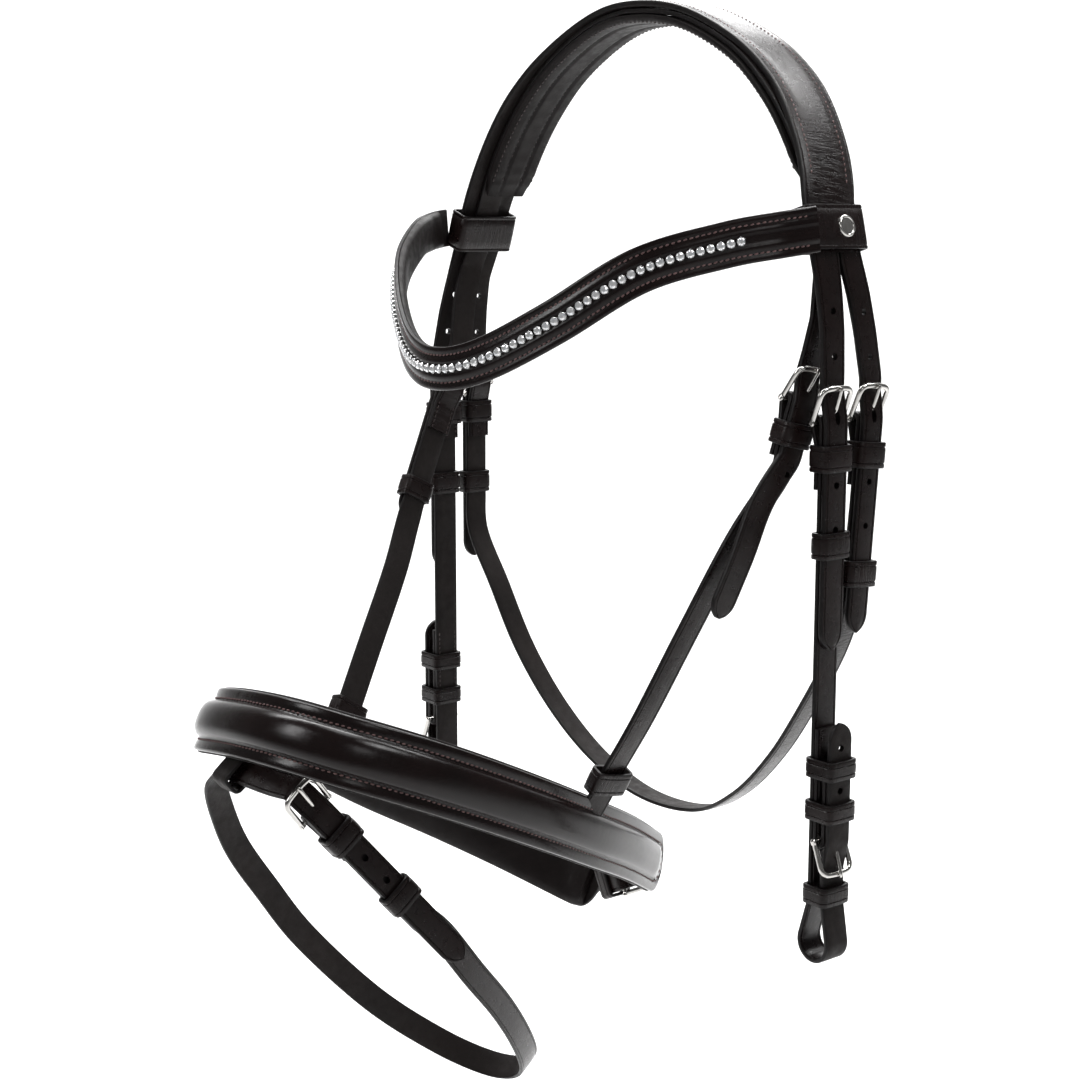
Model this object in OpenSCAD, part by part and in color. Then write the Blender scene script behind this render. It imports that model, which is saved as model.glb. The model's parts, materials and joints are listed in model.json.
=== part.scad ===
// Snaffle bridle with padded cavesson, flash strap and jewelled browband.
// Millimetres. Origin: underside of the headpiece at the middle of the poll.
// +X is the horse's left (near) side, -Y is the front of the face, +Z is up.

/* [Straps] */
// Width of the cheek straps and of the noseband hangers
strap_w = 14; // [13:0.5:15]
// Width of the throatlatch
throat_w = 13; // [12:0.5:13]
// Thickness of the single-layer straps
strap_t = 2.2; // [1.8:0.1:2.4]
// Thickness of the billets
billet_t = 2.6; // [2:0.1:2.6]
// Diameter of the punched billet holes
hole_d = 3.4; // [3:0.2:4.5]

/* [Headpiece] */
// Width of the headpiece over the poll
head_w = 32; // [30:1:36]
// Thickness of the headpiece leather
head_t = 3; // [2.4:0.1:3]
// Thickness of the poll pad
pad_t = 4.5; // [4:0.5:6]

/* [Browband] */
// Width of the browband
brow_w = 20; // [16:1:24]
// Number of crystals in the row
crystal_count = 73; // [31:2:73]
// Diameter of one crystal
crystal_d = 3.6; // [2.5:0.1:3.8]

/* [Noseband] */
// Width of the noseband
nose_w = 30; // [26:1:34]
// Height of the raised padding along the noseband
nose_crown = 3.4; // [2:0.2:5]
// Thickness of the noseband lining
nose_lining_t = 5; // [3:0.5:6]
// Width of the flash strap
flash_w = 13; // [11:0.5:14]

/* [Metal] */
// Thickness of the buckle frames
frame_t = 2.2; // [1.6:0.1:2.4]
// Radius of the buckle bars
bar_r = 1.3; // [1.1:0.05:1.3]
// Radius of the bit ring wire that the bottom loops hold
bit_r = 7.5; // [6:0.5:8]

/* [Hidden] */

eps = 0.01;
leather_c = [0.16, 0.12, 0.12];
steel_c = [0.78, 0.79, 0.80];

// ---------- curves ----------
function unit(v) = v / norm(v);
function perp(d, t) = unit(d - (d * t) * t);
function cr(a, b, c, d, t) = 0.5 * (2 * b + (c - a) * t + (2 * a - 5 * b + 4 * c - d) * t * t + (3 * b - a - 3 * c + d) * t * t * t);
function smooth(P, n) = let (m = len(P)) concat(
  [for (i = [0 : m - 2]) for (k = [0 : n - 1]) cr(P[max(i - 1, 0)], P[i], P[i + 1], P[min(i + 2, m - 1)], k / n)], [P[m - 1]]);
function tangents(S) = [for (i = [0 : len(S) - 1]) unit(S[min(i + 1, len(S) - 1)] - S[max(i - 1, 0)])];
function rev(L) = [for (i = [len(L) - 1 : -1 : 0]) L[i]];
// mirror a list of points to the far side
function flipx(L) = [for (p = L) [-p[0], p[1], p[2]]];

// Swept strap: S are the points, D the direction of the width, sec the [width, normal] corners.
// The normal is T x W.  taper = [start, end] width factors over the last three stations.
module ribbon(S, D, sec, taper = [1, 1]) {
  n = len(S);
  k = len(sec);
  T = tangents(S);
  isv = is_list(D[0]);
  pts = [for (i = [0 : n - 1])
    let (W = perp(isv ? D[i] : D, T[i]), N = cross(T[i], W),
         a = taper[0] < 1 && i < 3 ? taper[0] + (1 - taper[0]) * sin(i * 30) : 1,
         b = taper[1] < 1 && i > n - 4 ? taper[1] + (1 - taper[1]) * sin((n - 1 - i) * 30) : 1)
    for (c = sec) S[i] + c[0] * a * b * W + c[1] * N];
  faces = concat(
    [[for (j = [0 : k - 1]) j]],
    [for (i = [0 : n - 2]) for (j = [0 : k - 1]) let (j2 = (j + 1) % k) [i * k + j, (i + 1) * k + j, (i + 1) * k + j2]],
    [for (i = [0 : n - 2]) for (j = [0 : k - 1]) let (j2 = (j + 1) % k) [i * k + j, (i + 1) * k + j2, i * k + j2]],
    [[for (j = [k - 1 : -1 : 0]) (n - 1) * k + j]]);
  polyhedron(points = pts, faces = faces);
}
// plain strap section, centred on the normal offset c
function flat(w, t, c = 0) = [[-w / 2, c - t / 2], [w / 2, c - t / 2], [w / 2, c + t / 2], [-w / 2, c + t / 2]];

// ---------- local frames ----------
// Z points from the buckle bar towards the incoming billet, N points outwards.
module at(F) {
  O = F[0]; N = F[1]; Z = F[2]; W = cross(N, Z);
  multmatrix([[W[0], N[0], Z[0], O[0]], [W[1], N[1], Z[1], O[1]], [W[2], N[2], Z[2], O[2]], [0, 0, 0, 1]]) children();
}
function frame(O, N, Z) = let (z = unit(Z)) [O, perp(N, z), z];
function loc(F, n, z) = F[0] + n * F[1] + z * F[2];
function locs(F, L) = [for (p = L) loc(F, p[0], p[1])];

wrap_r = 1.5 + strap_t / 2;          // mid radius of a fold round a bar
main_n = wrap_r;                     // the strap below the bar
tail_n = 4.0 + billet_t / 2;         // the billet outside the strap
in_n = 1.2 + billet_t / 2;           // the billet above the frame
tilt = 21.5;                         // lean of the frame
// fold of a strap round the bar: return end, arc, main strap
function fold(ret) = concat([[0.2, -ret], [0.2, -11], [-wrap_r, -1.5]],
  [for (a = [180 : -30 : 0]) [wrap_r * cos(a), wrap_r * sin(a)]], [[wrap_r, -6]]);
// the billet through the buckle, from the incoming side to the tail
billet_in = [[in_n, 26], [in_n, 13], [tail_n, 1]];

// U-shaped buckle with its round bar, built round the bar
module buckle(sw) {
  color(steel_c) {
    rotate([-tilt, 0, 0]) rotate([90, 0, 0]) linear_extrude(height = frame_t, center = true) difference() {
      polygon([[-sw / 2 - 3.5, -1.8], [sw / 2 + 3.5, -1.8], [sw / 2 + 3.5, 15.6], [sw / 2 + 1.5, 17.6], [-sw / 2 - 1.5, 17.6], [-sw / 2 - 3.5, 15.6]]);
      translate([-sw / 2 - 0.9, -3]) square([sw + 1.8, 17.8]);
    }
    rotate([0, 90, 0]) cylinder(r = bar_r, h = sw + 5, center = true, $fn = 32);
  }
}
// tongue: an eye on the bar and a pin that rests across the far side of the frame
module tongue() {
  color(steel_c) difference() {
    union() {
      rotate([0, 90, 0]) cylinder(r = 3.4, h = 2.4, center = true, $fn = 32);
      rotate([-tilt, 0, 0]) translate([0, 2.38, 0]) cylinder(r = 1.05, h = 18.2, $fn = 24);
    }
    rotate([0, 90, 0]) cylinder(r = bar_r + 0.08, h = 6, center = true, $fn = 32);
  }
}
// slot for the tongue in the fold and in the billet
module fold_slot() { translate([-1.7, -6, -4.6]) cube([3.4, 12, 12]); }
module billet_slot() { translate([-1.5, -2, -1.4]) cube([3, 12, 11.2]); }
// leather keeper, a flat ring round the layers from normal n0 to n1
module keeper(sw, n0, n1, h, z, wall = 1.7, c = 0.45) {
  color(leather_c) translate([0, 0, z]) difference() {
    translate([-sw / 2 - c - wall, n0 - wall, -h / 2]) cube([sw + 2 * (c + wall), n1 - n0 + 2 * wall, h]);
    translate([-sw / 2 - c, n0, -h]) cube([sw + 2 * c, n1 - n0, 2 * h]);
  }
}
fold_in = -1.25;                     // inner side of the folded stack
tail_out = 4.0 + billet_t + 0.35;    // outer side of the stack

// ---------- frames of every buckle ----------
bar_x = 135.3;
cheek_z = -182;
cheek_F = [frame([bar_x, -7, cheek_z], [1, 0, 0], [0, 0, 1]), frame([-bar_x, -23, cheek_z], [-1, 0, 0], [0, 0, 1])];
throat_F = [frame([bar_x, 16.6, cheek_z], [1, 0, 0], [0, 0.08, 0.997]), frame([-bar_x, -1.5, cheek_z], [-1, 0, 0], [0, 0, 1])];
hanger_F = [frame([122, -13, -173], [1, 0, 0], [0.15, 0.2, 0.968]), frame([-121, -30, -182], [-1, 0, 0], [-0.13, 0.44, 0.89])];
// bit buckles stand on the outside of the cheek strap, upside down
bit_z = -373;
bit_x = bar_x + main_n + strap_t / 2 + 3.9;
bit_F = [frame([bit_x, -7, bit_z], [1, 0, 0], [0, 0, -1]), frame([-bit_x, -23, bit_z], [-1, 0, 0], [0, 0, -1])];
chin_F = frame([-2, -8, -432], [0, 1, 0], [0.88, 0.02, 0.46]);

// ---------- headpiece ----------
// outer line of the arch, as [x, z], on the near and the far half
// The crown is a superellipse 11 above the origin and 139.1 to each side: the
// larger its exponent, the squarer the shoulder. The near shoulder sits fuller.
crown_near = 2.1;
crown_far = 1.85;
function crown(n) = [for (z = [11, 6, -11, -31, -52, -76]) let (q = (z + 142) / 153) [139.1 * pow(max(0, 1 - pow(q, n)), 1 / n), z]];
arch = concat(crown(crown_near), [[133, -100], [137.4, -122], [139.1, -142]]);
arch_far = concat(crown(crown_far), [[132, -100], [137.2, -122], [139.1, -142]]);
arch_s = smooth(arch, 4);
arch_fs = smooth(arch_far, 4);
side_s = [[139.1, -168.5], [141.9, -181.5], [141.9, -300]];
// normals pointing inwards along the arch
function inward(S, i) = let (t = unit(S[min(i + 1, len(S) - 1)] - S[max(i - 1, 0)])) i == 0 ? [0, -1] : [t[1], -t[0]];
function inset(S, d) = [for (i = [0 : len(S) - 1]) S[i] + d * inward(S, i)];
function tail(L, a) = [for (i = [a : len(L) - 1]) L[i]];
function head(L, a) = [for (i = [0 : a]) L[i]];
function head_out(A) = concat(A, side_s);
function head_in(A) = concat(head(inset(A, head_t), len(A) - 3), [[136.5, -146], [136.5, -169], [139.3, -181.5], [139.3, -300]]);
function mirror2(L) = [for (p = L) [-p[0], p[1]]];
module head_profile() { polygon(concat(rev(mirror2(head_out(arch_fs))), tail(head_out(arch_s), 1), rev(head_in(arch_s)), tail(mirror2(head_in(arch_fs)), 1))); }
hw = head_w / 2;
near_plan = [[4 - hw, 20], [4 + hw, 20], [4 + hw, 10], [7 + hw, -30], [18, -62], [13, -84], [12.6, -106], [24.5, -164], [16.2, -268], [13.2, -276], [9.2, -279], [5.2, -276], [3.2, -268], [11.5, -164], [-0.8, -114],
  [-1.6, -116], [0, -160], [0, -272], [-2.5, -281], [-7, -285], [-11.5, -281], [-14, -272], [-14, -160], [-17, -120], [-18, -106], [-18, -84], [-13.5, -62], [7 - hw, -30], [4 - hw, 10]];
far_plan = [[4 - hw, 20], [4 + hw, 20], [4 + hw, 10], [-1 + hw, -30], [15, -62], [13, -84], [12, -106], [7, -124], [5, -164], [5, -270], [2.5, -278], [-1.5, -281], [-5.5, -278], [-8, -270], [-8, -164], [-6, -124],
  [-7.2, -124], [-16, -164], [-16, -272], [-18.5, -281], [-23, -285], [-27.5, -281], [-30, -272], [-30, -164], [-21, -124], [-18, -106], [-18, -84], [-17.5, -62], [-1 - hw, -30], [4 - hw, 10]];
module billet_holes(y1, y2, s) {
  for (z = [-133, -153]) translate([s * 138, y1[0] + (y1[1] - y1[0]) * (z + 122) / (-42), z]) rotate([0, 90, 0]) cylinder(d = hole_d, h = 12, center = true, $fn = 24);
  for (z = [-134, -154]) translate([s * 138, y2[0] + (y2[1] - y2[0]) * (z + 122) / (-42), z]) rotate([0, 90, 0]) cylinder(d = hole_d - 0.4, h = 12, center = true, $fn = 24);
  for (z = [-210, -230]) {
    translate([s * 140, y1[1], z]) rotate([0, 90, 0]) cylinder(d = hole_d, h = 12, center = true, $fn = 24);
    translate([s * 140, y2[1] + (s > 0 ? 0.08 * (z + 182) : 0), z]) rotate([0, 90, 0]) cylinder(d = hole_d - 0.4, h = 12, center = true, $fn = 24);
  }
}
module headpiece_leather() {
  color(leather_c) difference() {
    intersection() {
      rotate([90, 0, 0]) linear_extrude(height = 120, center = true) head_profile();
      union() {
        rotate([90, 0, 90]) linear_extrude(height = 200) polygon(near_plan);
        mirror([1, 0, 0]) rotate([90, 0, 90]) linear_extrude(height = 200) polygon(far_plan);
      }
    }
    billet_holes([-9.5, -7], [7.2, 16.6], 1);
    billet_holes([-14, -23], [0.5, -1.5], -1);
    for (i = [0, 1]) { at(cheek_F[i]) billet_slot(); at(throat_F[i]) billet_slot(); }
  }
}
// ---------- sliphead ----------
slip_t = 2.4;
function slip_line(A) = [for (p = inset(smooth(head(A, 6), 2), head_t + 0.3 + slip_t / 2)) [p[0], -4, p[1]]];
slip_in = 1.2 + slip_t / 2;
slip_tail = 4.0 + slip_t / 2;
slip_near = concat(
  smooth([[117, -55, -268], [120.5, -44, -242], [121.5, -33, -218], loc(hanger_F[0], slip_tail + 0.5, -26)], 3),
  locs(hanger_F[0], [[slip_tail, -10], [slip_tail, 1], [slip_in, 13], [slip_in, 22]]), [[131.3, -7.5, -136], [131.2, -6, -118]]);
slip_far = concat(
  [[-131, -9, -118], [-129, -15, -136]], locs(hanger_F[1], [[slip_in, 24], [slip_in, 13], [slip_tail, 1], [slip_tail, -10]]),
  smooth([loc(hanger_F[1], slip_tail + 0.1, -24), loc(hanger_F[1], slip_tail + 0.3, -50), loc(hanger_F[1], slip_tail + 0.4, -76)], 2));
module sliphead() {
  color(leather_c) difference() {
    ribbon(concat(slip_near, rev(slip_line(arch)), tail(flipx(slip_line(arch_far)), 1), slip_far),
      [0, 1, 0], flat(strap_w, slip_t), [0.45, 0.45]);
    for (i = [0, 1]) at(hanger_F[i]) billet_slot();
    for (z = [-33, -54]) at(hanger_F[0]) translate([0, 4, z]) rotate([90, 0, 0]) cylinder(d = hole_d, h = 24, center = true, $fn = 24);
  }
}
// ---------- poll pad ----------
function pad_line(A) = [for (p = head(inset(smooth(head(A, 6), 3), head_t + 0.3 + slip_t + 0.3 + pad_t / 2), 15)) [p[0], 3, p[1]]];
module headpiece_pad() {
  color([0.12, 0.1, 0.1]) ribbon(concat(rev(pad_line(arch)), tail(flipx(pad_line(arch_far)), 1)), [0, 1, 0],
    [[-13.5, -pad_t / 2 + 0.2], [13.5, -pad_t / 2 + 0.2], [15.5, 0], [13.5, pad_t / 2], [-13.5, pad_t / 2], [-15.5, 0]], [0.75, 0.75]);
}
// ---------- browband ----------
brow_mid = [[138.2, -22.4, -98], [133.5, -36, -100], [118, -55, -104.5], [93, -82, -115.5], [61, -104, -138.5], [28, -119, -156], [0, -124, -161],
  [-28, -119, -156], [-61, -104, -139], [-93, -82, -119], [-118, -55, -104], [-133.5, -36, -99.5], [-138.2, -22.6, -97]];
brow_s = rev(smooth(brow_mid, 4));  // from far to near, so that the normal points away from the head
brow_D = [0, 0, 1];
module browband_leather() { color(leather_c) ribbon(brow_s, brow_D, [[-brow_w / 2, -1.2], [brow_w / 2, -1.2], [brow_w / 2, 0.9], [brow_w / 2 - 3, 1.5], [-brow_w / 2 + 3, 1.5], [-brow_w / 2, 0.9]]); }
module browband_lining() {
  color([0.2, 0.18, 0.19]) ribbon([for (i = [2 : len(brow_s) - 3]) brow_s[i]], brow_D, [[-brow_w / 2 + 1.5, -4.6], [brow_w / 2 - 1.5, -4.6], [brow_w / 2 - 0.3, -1.7], [-brow_w / 2 + 0.3, -1.7]]);
}
// stations of the crystal row, evenly spread over the middle of the browband
function len_to(S, i) = i == 0 ? 0 : len_to(S, i - 1) + norm(S[i] - S[i - 1]);
brow_L = [for (i = [0 : len(brow_s) - 1]) len_to(brow_s, i)];
function seg_at(L, d, i = 0) = i >= len(L) - 2 || L[i + 1] >= d ? i : seg_at(L, d, i + 1);
function along(S, L, d) = let (i = seg_at(L, d)) S[i] + (S[i + 1] - S[i]) * (d - L[i]) / (L[i + 1] - L[i]);
crystal_pitch = 4.45;
brow_len = brow_L[len(brow_L) - 1];
// brow frame for a stone: N outwards, Z along the width
module on_brow(d) {
  p = along(brow_s, brow_L, d); i = seg_at(brow_L, d);
  t = unit(brow_s[i + 1] - brow_s[i]); w = perp(brow_D, t); nn = cross(t, w);
  multmatrix([[t[0], w[0], nn[0], p[0]], [t[1], w[1], nn[1], p[1]], [t[2], w[2], nn[2], p[2]], [0, 0, 0, 1]]) children();
}
function crystal_d_at(i) = brow_len / 2 + (i - (crystal_count - 1) / 2) * crystal_pitch;
module crystal_cup_chain() {
  color(steel_c) for (i = [0 : crystal_count - 1]) on_brow(crystal_d_at(i)) translate([0, 0, 1.85]) cylinder(d = crystal_d + 0.5, h = 0.75, $fn = 12);
}
module browband_crystals() {
  color([0.9, 0.93, 0.96, 0.8]) for (i = [0 : crystal_count - 1]) on_brow(crystal_d_at(i)) translate([0, 0, 2.65]) cylinder(d1 = crystal_d, d2 = crystal_d * 0.55, h = 1.05, $fn = 8);
}
// loops at the ends of the browband
loop_F = [frame([131.2, -3, -97.5], [1, 0, 0], [-0.24, 0, 0.97]), frame([-131, -3, -97.5], [-1, 0, 0], [0.33, 0, 0.944])];
module brow_loop(F, n0) { color(leather_c) at(F) keeper(31.4, n0, 3.4, brow_w, 0, 1.6, 0.8); }
module browband_loop_near() { brow_loop(loop_F[0], -5.9); }
module browband_loop_far() { brow_loop(loop_F[1], -7.4); }
module snap_studs() {
  color(steel_c) for (i = [0, 1]) at(loop_F[i]) translate([i == 0 ? -4 : 4, 5.02, 0]) rotate([-90, 0, 0]) { cylinder(r = 5, h = 1.1, $fn = 32); cylinder(r = 4.1, h = 1.7, $fn = 32); }
}
// ---------- cheekpieces ----------
loop_c = [-2.2, 49.5];                 // centre of the bottom loop in the bit frame (n, z)
module cheekpiece(i) {
  F = cheek_F[i]; B = bit_F[i];
  main = -(wrap_r + strap_t / 2 + 0.3 + strap_t / 2 + 0.05) - 0.0;   // in the bit frame
  lr = bit_r - 0.25 + billet_t / 2;
  arcp = [for (a = [200 : -20 : -20]) loc(B, loop_c[0] + lr * cos(a), loop_c[1] - lr * -sin(a) )];
  path = concat(locs(F, fold(30)), locs(F, [[main_n, -40], [main_n, -150]]),
    [loc(B, loop_n, 18), loc(B, loop_n, 29)], arcp,
    locs(B, [[in_n + 0.3, 29], [in_n, 14], [tail_n, 1], [tail_n, -20], [tail_n, -46], [tail_n, -50], [tail_n, -53], [tail_n, -55.5]]));
  color(leather_c) difference() {
    ribbon(path, [0, i == 0 ? 1 : -1, 0], flat(strap_w, strap_t), [1, 0.45]);
    at(F) fold_slot();
    at(B) { billet_slot(); translate([0, loop_c[0], loop_c[1]]) rotate([0, 90, 0]) cylinder(r = bit_r, h = 30, center = true, $fn = 48);
      for (z = [-14, -30]) translate([0, 5.5, z]) rotate([90, 0, 0]) cylinder(d = hole_d, h = 4, center = true, $fn = 24); }
  }
}
loop_n = -(bit_x - bar_x - main_n);  // the cheek strap's middle, in the bit frame
module cheekpiece_near() { cheekpiece(0); }
module cheekpiece_far() { cheekpiece(1); }
module cheek_buckle_near() { at(cheek_F[0]) buckle(strap_w); }
module cheek_buckle_far() { at(cheek_F[1]) buckle(strap_w); }
module cheek_tongue_near() { at(cheek_F[0]) tongue(); }
module cheek_tongue_far() { at(cheek_F[1]) tongue(); }
module cheek_keepers() { for (F = cheek_F) at(F) keeper(strap_w, fold_in, tail_out, 12, -16); }
module cheek_runner(i) { at(cheek_F[i]) keeper(strap_w, 1.15, tail_out, 12, -55); }
module cheek_runner_near() { cheek_runner(0); }
module cheek_runner_far() { cheek_runner(1); }
// sewn chape that holds the bit buckle
module bit_chape(i) {
  F = bit_F[i];
  color(leather_c) difference() {
    ribbon(locs(F, concat([[-wrap_r, -52], [-wrap_r, -1.5]], [for (a = [180 : -30 : 0]) [wrap_r * cos(a), wrap_r * sin(a)]], [[wrap_r, -6], [wrap_r, -30]])),
      [0, i == 0 ? 1 : -1, 0], flat(strap_w, strap_t));
    at(F) fold_slot();
  }
}
module bit_chape_near() { bit_chape(0); }
module bit_chape_far() { bit_chape(1); }
module bit_buckle_near() { at(bit_F[0]) buckle(strap_w); }
module bit_buckle_far() { at(bit_F[1]) buckle(strap_w); }
module bit_tongue_near() { at(bit_F[0]) tongue(); }
module bit_tongue_far() { at(bit_F[1]) tongue(); }
bit_in = loop_n - strap_t / 2 - 0.35;
module bit_keepers() { for (F = bit_F) at(F) { keeper(strap_w, bit_in, tail_out, 9, -14); keeper(strap_w, bit_in, in_n + billet_t / 2 + 0.75, 9, 26); } }
module bit_runner(i) { at(bit_F[i]) keeper(strap_w, bit_in, tail_out, 9, -34); }
module bit_runner_near() { bit_runner(0); }
module bit_runner_far() { bit_runner(1); }
// ---------- throatlatch ----------
throat_near = [loc(throat_F[0], main_n, -40), loc(throat_F[0], main_n - 0.8, -70), [133.5, 13, -272], [123, 15.5, -294], [104, 19, -322], [79, 24, -353], [48, 30, -381], [12, 36, -400],
  [-26, 32, -401], [-60, 26, -387], [-87, 18, -362], [-108, 10, -330], [-123, 3, -294], loc(throat_F[1], main_n - 2, -84), loc(throat_F[1], main_n, -62), loc(throat_F[1], main_n, -40)];
module throatlatch() {
  color(leather_c) difference() {
    lead = locs(throat_F[0], fold(30)); low = smooth(throat_near, 3); back = rev(locs(throat_F[1], fold(30)));
    W = -cross(throat_F[0][1], throat_F[0][2]);
    ribbon(concat(lead, low, back), concat([for (p = lead) W], [for (p = concat(low, back)) [0, 1, 0]]), flat(throat_w, strap_t));
    for (F = throat_F) at(F) fold_slot();
  }
}
module throat_buckle_near() { at(throat_F[0]) buckle(throat_w); }
module throat_buckle_far() { at(throat_F[1]) buckle(throat_w); }
module throat_tongue_near() { at(throat_F[0]) tongue(); }
module throat_tongue_far() { at(throat_F[1]) tongue(); }
module throat_keepers() { for (F = throat_F) at(F) keeper(throat_w, fold_in, tail_out, 12, -16); }
module throat_runner(i) { at(throat_F[i]) keeper(throat_w, i == 0 ? -1.6 : 1.15, tail_out, 12, i == 0 ? -70 : -56, 1.7, i == 0 ? 1.2 : 0.45); }
module throat_runner_near() { throat_runner(0); }
module throat_runner_far() { throat_runner(1); }
// ---------- noseband hangers ----------
hang_end = [[71, -81, -353], [-83.5, -125.3, -346.5]];
hang_pts = [[[114, -41, -235], [101, -57, -276], [87, -71, -317], [75, -79.3, -344], hang_end[0]],
  [[-106, -78, -276], [-95, -101.5, -311], [-88.5, -115, -331], hang_end[1]]];
module hanger(i) {
  F = hanger_F[i];
  color(leather_c) difference() {
    lead = locs(F, fold(26));
    low = smooth(concat([loc(F, main_n, i == 0 ? -22 : -30), loc(F, main_n, i == 0 ? -34 : -74)], hang_pts[i]), 3);
    W = -cross(F[1], F[2]);
    ribbon(concat(lead, low), concat([for (p = lead) W], [W, W, W], [for (j = [3 : len(low) - 1]) [0, i == 0 ? 1 : -1, 0]]), flat(strap_w, strap_t));
    at(F) fold_slot();
  }
}
module noseband_hanger_near() { hanger(0); }
module noseband_hanger_far() { hanger(1); }
module hanger_buckle_near() { at(hanger_F[0]) buckle(strap_w); }
module hanger_buckle_far() { at(hanger_F[1]) buckle(strap_w); }
module hanger_tongue_near() { at(hanger_F[0]) tongue(); }
module hanger_tongue_far() { at(hanger_F[1]) tongue(); }
module hanger_keeper_near() { at(hanger_F[0]) keeper(strap_w, fold_in, tail_out, 11, -15); }
module hanger_runner_far() { at(hanger_F[1]) keeper(strap_w, 1.15, tail_out + 0.5, 11, -60); }
// ---------- noseband ----------
// middle of the band, from the near end round the front to the far end
nose_mid = [[24, -5, -419], [48, -44, -396], [66, -82, -376], [76, -120, -356.5], [78, -158, -338], [74, -189, -324], [61, -214, -314], [36, -229, -309], [2, -232.5, -311],
  [-34, -227, -318], [-58, -205, -328], [-74, -176, -342], [-80, -142, -359], [-80, -108, -380], [-77, -70, -402], [-66, -34, -424], [-44, -10, -440], [-22, -6, -443]];
nose_s = rev(smooth(nose_mid, 3));  // from far to near, so that the normal points away from the head
nose_D = rev([for (i = [0 : len(nose_s) - 1]) let (f = i / (len(nose_s) - 1)) f < 0.5 ? [-0.25 + f * 0.7, 0.42, 0.88] : [0.1 - (f - 0.5) * 0.5, 0.42, 0.88]]);
nw = nose_w / 2;
module noseband_leather() {
  color(leather_c) ribbon(nose_s, nose_D, [[-nw, 0], [nw, 0], [nw, 2.4], [nw - 5, 2.8], [nw - 8, 2.8 + nose_crown * 0.7], [0, 2.8 + nose_crown], [-nw + 8, 2.8 + nose_crown * 0.7], [-nw + 5, 2.8], [-nw, 2.4]], [0.55, 0.55]);
}
module noseband_lining() {
  color([0.1, 0.09, 0.09]) ribbon([for (i = [1 : len(nose_s) - 2]) nose_s[i]], [for (i = [1 : len(nose_s) - 2]) nose_D[i]],
    [[-nw + 1, -nose_lining_t * 0.5], [-nw + 4, -nose_lining_t], [nw - 4, -nose_lining_t], [nw - 0.5, -nose_lining_t * 0.5], [nw + 1.2, -0.65], [-nw - 0.5, -0.65]]);
}
// sleeves that hold the hangers on the upper edge of the noseband
hang_dir = [unit(hang_pts[0][3] - hang_end[0]), unit(hang_pts[1][2] - hang_end[1])];
sleeve_F = [for (i = [0, 1]) frame(hang_end[i], [i == 0 ? 1 : -1, 0, 0], hang_dir[i])];
module noseband_loops() { for (F = sleeve_F) at(F) keeper(strap_w, -2.5, 2.5, 12, 5, 1.6, 1.9); }
// ---------- chin strap ----------
module chin_chape() {
  color(leather_c) difference() {
    ribbon(concat([loc(chin_F, -wrap_r, -14), loc(chin_F, -wrap_r, -1.5)], [for (a = [180 : -30 : 0]) loc(chin_F, wrap_r * cos(a), wrap_r * sin(a))], [loc(chin_F, wrap_r, -6), loc(chin_F, wrap_r, -14)]), -cross(chin_F[1], chin_F[2]), flat(strap_w, strap_t));
    at(chin_F) fold_slot();
  }
}
module chin_billet() {
  color(leather_c) difference() {
    ribbon(locs(chin_F, [[in_n, 22.2], [in_n, 13], [tail_n, 1], [tail_n, -14], [tail_n, -16], [tail_n, -18], [tail_n, -19.5]]), -cross(chin_F[1], chin_F[2]), flat(strap_w, billet_t), [1, 0.45]);
    at(chin_F) billet_slot();
  }
}
module chin_buckle() { at(chin_F) buckle(strap_w); }
module chin_tongue() { at(chin_F) tongue(); }
module chin_keeper() { at(chin_F) keeper(strap_w, -wrap_r - strap_t / 2 - 0.3, tail_out, 8, -9.5); }
// ---------- flash strap ----------
flash_V = unit([0, 0.647, -0.763]);
flash_D = cross([1, 0, 0], flash_V);
flash_F = frame([30.5, -211.5, -348], [1, 0, 0], [-0.196, -0.619, 0.761]);
flash_axis = [1, -232.5, -332];      // where the strap swings in the loop
flash_t = 2;
f_main = 1.5 + flash_t / 2;
f_tail = 1.5 + flash_t + 0.3 + flash_t / 2;
f_in = 1.2 + flash_t / 2;
flash_pts = [[46, -155, -414], [43, -136, -438], [36, -115, -462], [26, -96, -486], [12, -80, -508], [-4, -74, -520], [-20, -82, -521],
  [-34, -103, -508], [-43, -136, -480], [-47, -172, -440], [-46, -194, -409], [-42, -211, -384], [-34, -223, -361], [-23, -231.5, -343], [-11, -233.5, -333.5], [1, -232.5, -332], [12, -230, -333], [22, -225, -335]];
flash_path = concat(locs(flash_F, [[0.1, -26], [0.1, -10], [-f_main, -1.5]]),
  [for (a = [180 : -30 : 0]) loc(flash_F, f_main * cos(a), f_main * sin(a))], locs(flash_F, [[f_main, -6], [f_main, -30], [f_main, -66]]),
  smooth(concat([loc(flash_F, f_main, -72)], flash_pts, [loc(flash_F, f_in, 16)]), 3),
  locs(flash_F, [[f_in, 12], [f_tail, 1], [f_tail, -20], [f_tail, -66]]),
  smooth([loc(flash_F, f_tail, -76), loc(flash_F, f_tail - 0.2, -92), loc(flash_F, f_tail - 0.2, -100)], 2));
module flash_strap() {
  color(leather_c) difference() {
    ribbon(flash_path, flash_D, flat(flash_w, flash_t), [1, 0.45]);
    at(flash_F) { fold_slot(); billet_slot(); for (z = [-30, -45]) translate([0, 4, z]) rotate([90, 0, 0]) cylinder(d = hole_d - 0.4, h = 20, center = true, $fn = 24); }
  }
}
module flash_buckle() { at(flash_F) buckle(flash_w); }
module flash_tongue() { at(flash_F) tongue(); }
f_out = 1.5 + 2 * flash_t + 0.3 + 0.35;
module flash_keeper() { at(flash_F) keeper(flash_w, -1.25, f_out, 11, -16, 1.5); }
module flash_runner() { at(flash_F) keeper(flash_w, 1.15, f_out, 11, -56, 1.5); }
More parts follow.
